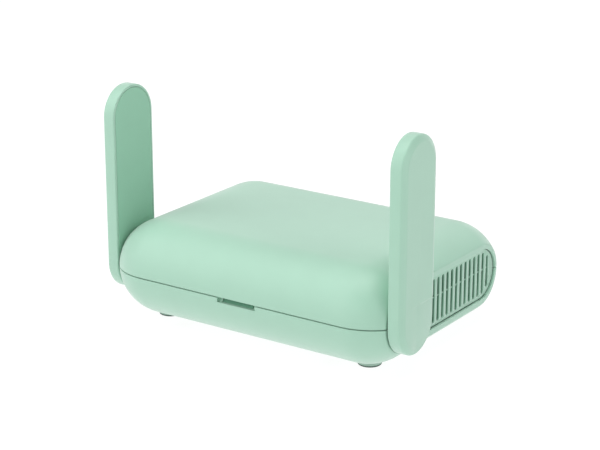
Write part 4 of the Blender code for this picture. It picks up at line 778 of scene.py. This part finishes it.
def make_usb_c(materials):
    low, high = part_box("usb_c_jack")
    mid_x, mid_z = (low.x + high.x) / 2, (low.z + high.z) / 2
    half_width, half_height = (high.x - low.x) / 2, (high.z - low.z) / 2
    outline = stadium(half_width, half_height, 12, mid_x, mid_z)
    shell = finish_mesh("shell", prism(outline, "Y", low.y, high.y))
    hollow = stadium(half_width - 0.35 * MM, half_height - 0.35 * MM, 12, mid_x, mid_z)
    combine(shell, "DIFFERENCE", prism(hollow, "Y", low.y + 1.0 * MM, high.y + WALL))
    soften(shell, 0.06 * MM)
    resharpen(shell)
    settle(shell, "usb_c_shell", "casing", "steel", materials["steel"], "usb_c_jack")
    tongue = finish_mesh("tongue", box_mesh((mid_x - 3.3 * MM, low.y + 0.5 * MM, mid_z - 0.35 * MM),
                                            (mid_x + 3.3 * MM, low.y + 6.0 * MM, mid_z + 0.35 * MM)))
    soften(tongue, 0.12 * MM)
    settle(tongue, "usb_c_tongue", "casing", "dark", materials["dark"])
    pins = []
    for k in range(12):
        x = mid_x + (k - 5.5) * 0.5 * MM
        for side in (-1, 1):
            z = mid_z + side * 0.36 * MM
            pins.append(((x - 0.13 * MM, low.y + 1.2 * MM, z - 0.04 * MM),
                         (x + 0.13 * MM, low.y + 5.4 * MM, z + 0.04 * MM)))
    make_contacts("usb_c_contacts", pins, materials["brass"])


# ---------------------------------------------------------------- turned pieces

def turned(name, profile, place, axis="Z", steps=48):
    """Solid of revolution through (radius, height) points, closed on its axis."""
    bm = bmesh.new()
    rows = []
    for radius, height in profile:
        row = []
        for u, v in circle(radius, steps):
            point = (u, v, height) if axis == "Z" else (u, height, v)
            row.append(bm.verts.new(Vector(point) + Vector(place)))
        rows.append(row)
    for row, following in zip(rows, rows[1:]):
        for k in range(steps):
            bm.faces.new((row[k], row[(k + 1) % steps], following[(k + 1) % steps], following[k]))
    bm.faces.new(rows[0])
    bm.faces.new(rows[-1])
    return finish_mesh(name, bm)


def rounded_end(radius, height, fillet, outward, steps=5):
    """Profile points of a rounded edge at an end of a turned piece, from the side toward the end."""
    points = []
    for k in range(steps + 1):
        angle = math.pi / 2 * k / steps
        points.append((radius - fillet + fillet * math.cos(angle),
                       height - outward * fillet * (1 - math.sin(angle))))
    return points


def make_feet(material):
    for name in CORNERS:
        low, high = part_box("foot_" + name)
        radius = (high.x - low.x) / 2
        profile = [(radius, high.z)] + rounded_end(radius, low.z, 0.45 * MM, -1)
        place = ((low.x + high.x) / 2, (low.y + high.y) / 2, 0.0)
        foot = turned("foot", profile, place, steps=64)
        # The rubber material paints a contact shadow along the foot's sole.
        settle(foot, "rubber_foot_" + name, "casing", "rubber", material, "foot_" + name)


def make_case_screws(material):
    """Casing screws with a rounded head and a cross recess, seen from below."""
    for name in CORNERS:
        low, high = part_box("case_screw_" + name)
        radius = (high.x - low.x) / 2
        place = ((low.x + high.x) / 2, (low.y + high.y) / 2, 0.0)
        head_top = low.z + HEAD_HEIGHT
        shank = SHANK_RADIUS
        profile = [(0.2 * shank, high.z), (shank, high.z - 0.8 * MM), (shank, head_top), (radius, head_top)]
        profile += rounded_end(radius, low.z, 0.7 * MM, -1)
        screw = turned("screw", profile, place)
        for wide, deep in ((1.4 * MM, 0.25 * MM), (0.25 * MM, 1.4 * MM)):
            combine(screw, "DIFFERENCE", box_mesh((place[0] - wide, place[1] - deep, low.z - WALL),
                                                  (place[0] + wide, place[1] + deep, low.z + 1.0 * MM)))
        resharpen(screw)
        settle(screw, "screw_" + name, "casing", "zinc", material, "case_screw_" + name)


def make_button(material):
    low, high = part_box("reset_button")
    radius = (high.x - low.x) / 2
    place = ((low.x + high.x) / 2, 0.0, (low.z + high.z) / 2)
    button = turned("button", [(radius, low.y)] + rounded_end(radius, high.y, 0.35 * MM, 1), place, "Y")
    settle(button, "button_cap", "reset_button", "mint", material, "reset_button")


# ---------------------------------------------------------------- antennas

def paddle_outline(inset, length, width, arc=28):
    """Paddle outline (y, z) about the hinge axis, at a distance in from its edge."""
    radius = width / 2 - inset
    reach = length - width
    heights = [h * MM for h in PADDLE_HEIGHTS]
    while heights[-1] + 1.5 * PADDLE_SPACING < reach:
        heights.append(heights[-1] + PADDLE_SPACING)
    points = []
    for k in range(arc):
        angle = math.pi * (1 + k / arc)
        points.append((radius * math.cos(angle), radius * math.sin(angle)))
    points += [(radius, h) for h in heights]
    for k in range(arc):
        angle = math.pi * k / arc
        points.append((radius * math.cos(angle), reach + radius * math.sin(angle)))
    points += [(-radius, reach)] + [(-radius, h) for h in reversed(heights[1:])]
    return points


def smooth_share(value, low, high):
    share = min(1.0, max(0.0, (value - low) / (high - low)))
    return share * share * (3 - 2 * share)


def crown_height(inset, y, z, width):
    """How far the outer face stands out: flat with soft margins, and a dome at the back of its foot."""
    flat = 1 - (1 - min(1.0, inset / ANTENNA_MARGIN))**1.2
    dome = DOME_SHARE * math.sin(math.pi / 2 * min(1.0, inset / (width / 2)))
    domed = smooth_share(y, -5.0 * MM, 0.5 * MM) * (1 - smooth_share(z, 6.3 * MM, 6.9 * MM))
    return ANTENNA_CROWN * (flat + (dome - flat) * domed)


def make_antenna(side, materials):
    label = "left" if side < 0 else "right"
    shell_low, shell_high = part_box("antenna_shell_" + label)
    inner = min(abs(shell_low.x), abs(shell_high.x))
    outer = max(abs(shell_low.x), abs(shell_high.x))
    edge = outer - ANTENNA_CROWN
    length, width = shell_high.z - shell_low.z, shell_high.y - shell_low.y
    hinge_y, hinge_z = middle("antenna_shell_" + label).y, shell_low.z + width / 2

    def ring(x, inset, crown=False):
        points = []
        for y, z in paddle_outline(inset, length, width):
            out = x + (crown_height(inset, y, z, width) if crown else 0.0)
            points.append((side * out, hinge_y + y, hinge_z + z))
        return points

    fillet = ANTENNA_FILLET
    ledge = inner + COVER_LEDGE
    rings = [ring(ledge + POCKET_DEPTH, POCKET_INSET), ring(ledge, POCKET_INSET), ring(ledge, COVER_INSET),
             ring(inner + EDGE_BREAK, COVER_INSET), ring(inner, COVER_INSET - EDGE_BREAK),
             ring(inner, fillet + EDGE_BREAK)]
    for k in range(5):
        angle = math.pi / 2 * k / 4
        rings.append(ring(inner + fillet * (1 - math.cos(angle)), fillet * (1 - math.sin(angle))))
    for k in range(4):
        angle = math.pi / 2 * k / 4
        rings.append(ring(edge - fillet * (1 - math.sin(angle)), fillet * (1 - math.cos(angle)) * 0.5))
    for inset in CROWN_INSETS:
        rings.append(ring(edge, inset * MM, crown=True))
    shell = finish_mesh("antenna_body_" + label, loft(rings), 50.0)
    settle(shell, "antenna_body_" + label, "antenna_" + label, "mint", materials["mint"],
           "antenna_shell_" + label)

    seam = COVER_INSET + COVER_SEAM
    rings = [ring(inner + COVER_THICKNESS, seam + 0.05 * MM), ring(inner + EDGE_BREAK, seam),
             ring(inner, seam + EDGE_BREAK)]
    cover = finish_mesh("antenna_cover_" + label, loft(rings))
    barrel_low, barrel_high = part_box("antenna_cover_" + label)
    barrel_end = min(abs(barrel_low.x), abs(barrel_high.x))
    first, last = sorted((side * barrel_end, side * (inner + COVER_THICKNESS / 2)))
    combine(cover, "UNION", prism(circle(BARREL_RADIUS, 48, hinge_y, hinge_z), "X", first, last))
    combine(cover, "DIFFERENCE", prism(circle(BARREL_BORE_RADIUS, 32, hinge_y, hinge_z), "X",
                                       first - WALL, last + WALL))
    clip_low, clip_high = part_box("hinge_clip_" + label)
    groove = finish_mesh("groove", prism(circle(GROOVE_OUTER_RADIUS, 48, hinge_y, hinge_z), "X",
                                         clip_low.x - CLEAR / 2, clip_high.x + CLEAR / 2))
    combine(groove, "DIFFERENCE", prism(circle(GROOVE_INNER_RADIUS, 48, hinge_y, hinge_z), "X",
                                        clip_low.x - WALL, clip_high.x + WALL))
    combine(cover, "DIFFERENCE", taken(groove))
    resharpen(cover)
    # The inner cover takes the mint plastic with painted shade.
    settle(cover, "antenna_inner_" + label, "antenna_" + label, "mint", materials["inner"],
           "antenna_cover_" + label)


# ---------------------------------------------------------------- carried-over pieces

def dress_nodes(materials):
    """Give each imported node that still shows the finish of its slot."""
    for entry in frame["record"]["subparts"]:
        node = frame["nodes"][entry["node"]]
        node.data.materials.clear()
        finish = "lens" if entry["node"] == "status_led" else entry["material_slot"]
        node.data.materials.append(materials[finish])


# ---------------------------------------------------------------- studio

def make_stage():
    bm = bmesh.new()
    bmesh.ops.create_grid(bm, x_segments=1, y_segments=1, size=FLOOR_SIZE)
    bmesh.ops.translate(bm, verts=bm.verts, vec=(0.0, 0.0, -FLOOR_DROP))
    floor = finish_mesh("studio_floor", bm)
    material = bpy.data.materials.new("floor_white")
    material.use_nodes = True
    shader = material.node_tree.nodes["Principled BSDF"]
    shader.inputs["Base Color"].default_value = (FLOOR_TONE, FLOOR_TONE, FLOOR_TONE, 1.0)
    shader.inputs["Roughness"].default_value = 0.9
    shader.inputs["Specular IOR Level"].default_value = 0.0
    shader.inputs["Emission Color"].default_value = (1.0, 1.0, 1.0, 1.0)
    shader.inputs["Emission Strength"].default_value = FLOOR_GLOW
    floor.data.materials.append(material)


def add_light(name, azimuth, elevation, size, power):
    """Square soft light at a direction from the object; azimuth 0 is in front and 90 to its right."""
    light = bpy.data.lights.new(name, "AREA")
    light.shape = "SQUARE"
    light.size = size
    light.energy = power
    item = bpy.data.objects.new(name, light)
    around, up = math.radians(azimuth), math.radians(elevation)
    target = Vector(LIGHT_TARGET)
    toward = Vector((math.sin(around) * math.cos(up), -math.cos(around) * math.cos(up), math.sin(up)))
    item.location = target + toward * LIGHT_DISTANCE
    item.rotation_euler = (-toward).to_track_quat("-Z", "Y").to_euler()
    bpy.context.scene.collection.objects.link(item)


def make_lights():
    world = bpy.data.worlds.new("studio")
    world.use_nodes = True
    world.node_tree.nodes["Background"].inputs["Color"].default_value = (1.0, 1.0, 1.0, 1.0)
    world.node_tree.nodes["Background"].inputs["Strength"].default_value = WORLD_STRENGTH
    bpy.context.scene.world = world
    for name, azimuth, elevation, size, power in LIGHTS:
        add_light(name, azimuth, elevation, size, power)
    bpy.context.scene.view_settings.view_transform = "Standard"


def make_camera():
    data = bpy.data.cameras.new("camera")
    data.lens = CAMERA_LENS
    data.sensor_width = SENSOR_WIDTH
    camera = bpy.data.objects.new("camera", data)
    camera.location = CAMERA_PLACE
    camera.rotation_euler = [math.radians(a) for a in CAMERA_TURN]
    bpy.context.scene.collection.objects.link(camera)
    bpy.context.scene.camera = camera


def main():
    materials = make_materials()
    make_camera()
    make_stage()
    make_lights()
    dress_nodes(materials)
    make_top(materials["mint"])
    make_bottom(materials["mint"])
    for side in (-1, 1):
        make_grille(side, materials)
        make_antenna(side, materials)
    make_pipe(materials["light"])
    make_panel(materials["panel"])
    for node in ("lan_jack", "wan_jack"):
        make_network_jack(node, materials)
    make_usb_a(materials)
    make_usb_c(materials)
    make_button(materials["mint"])
    make_slider(materials["mint"])
    make_feet(materials["rubber"])
    make_case_screws(materials["zinc"])


main()
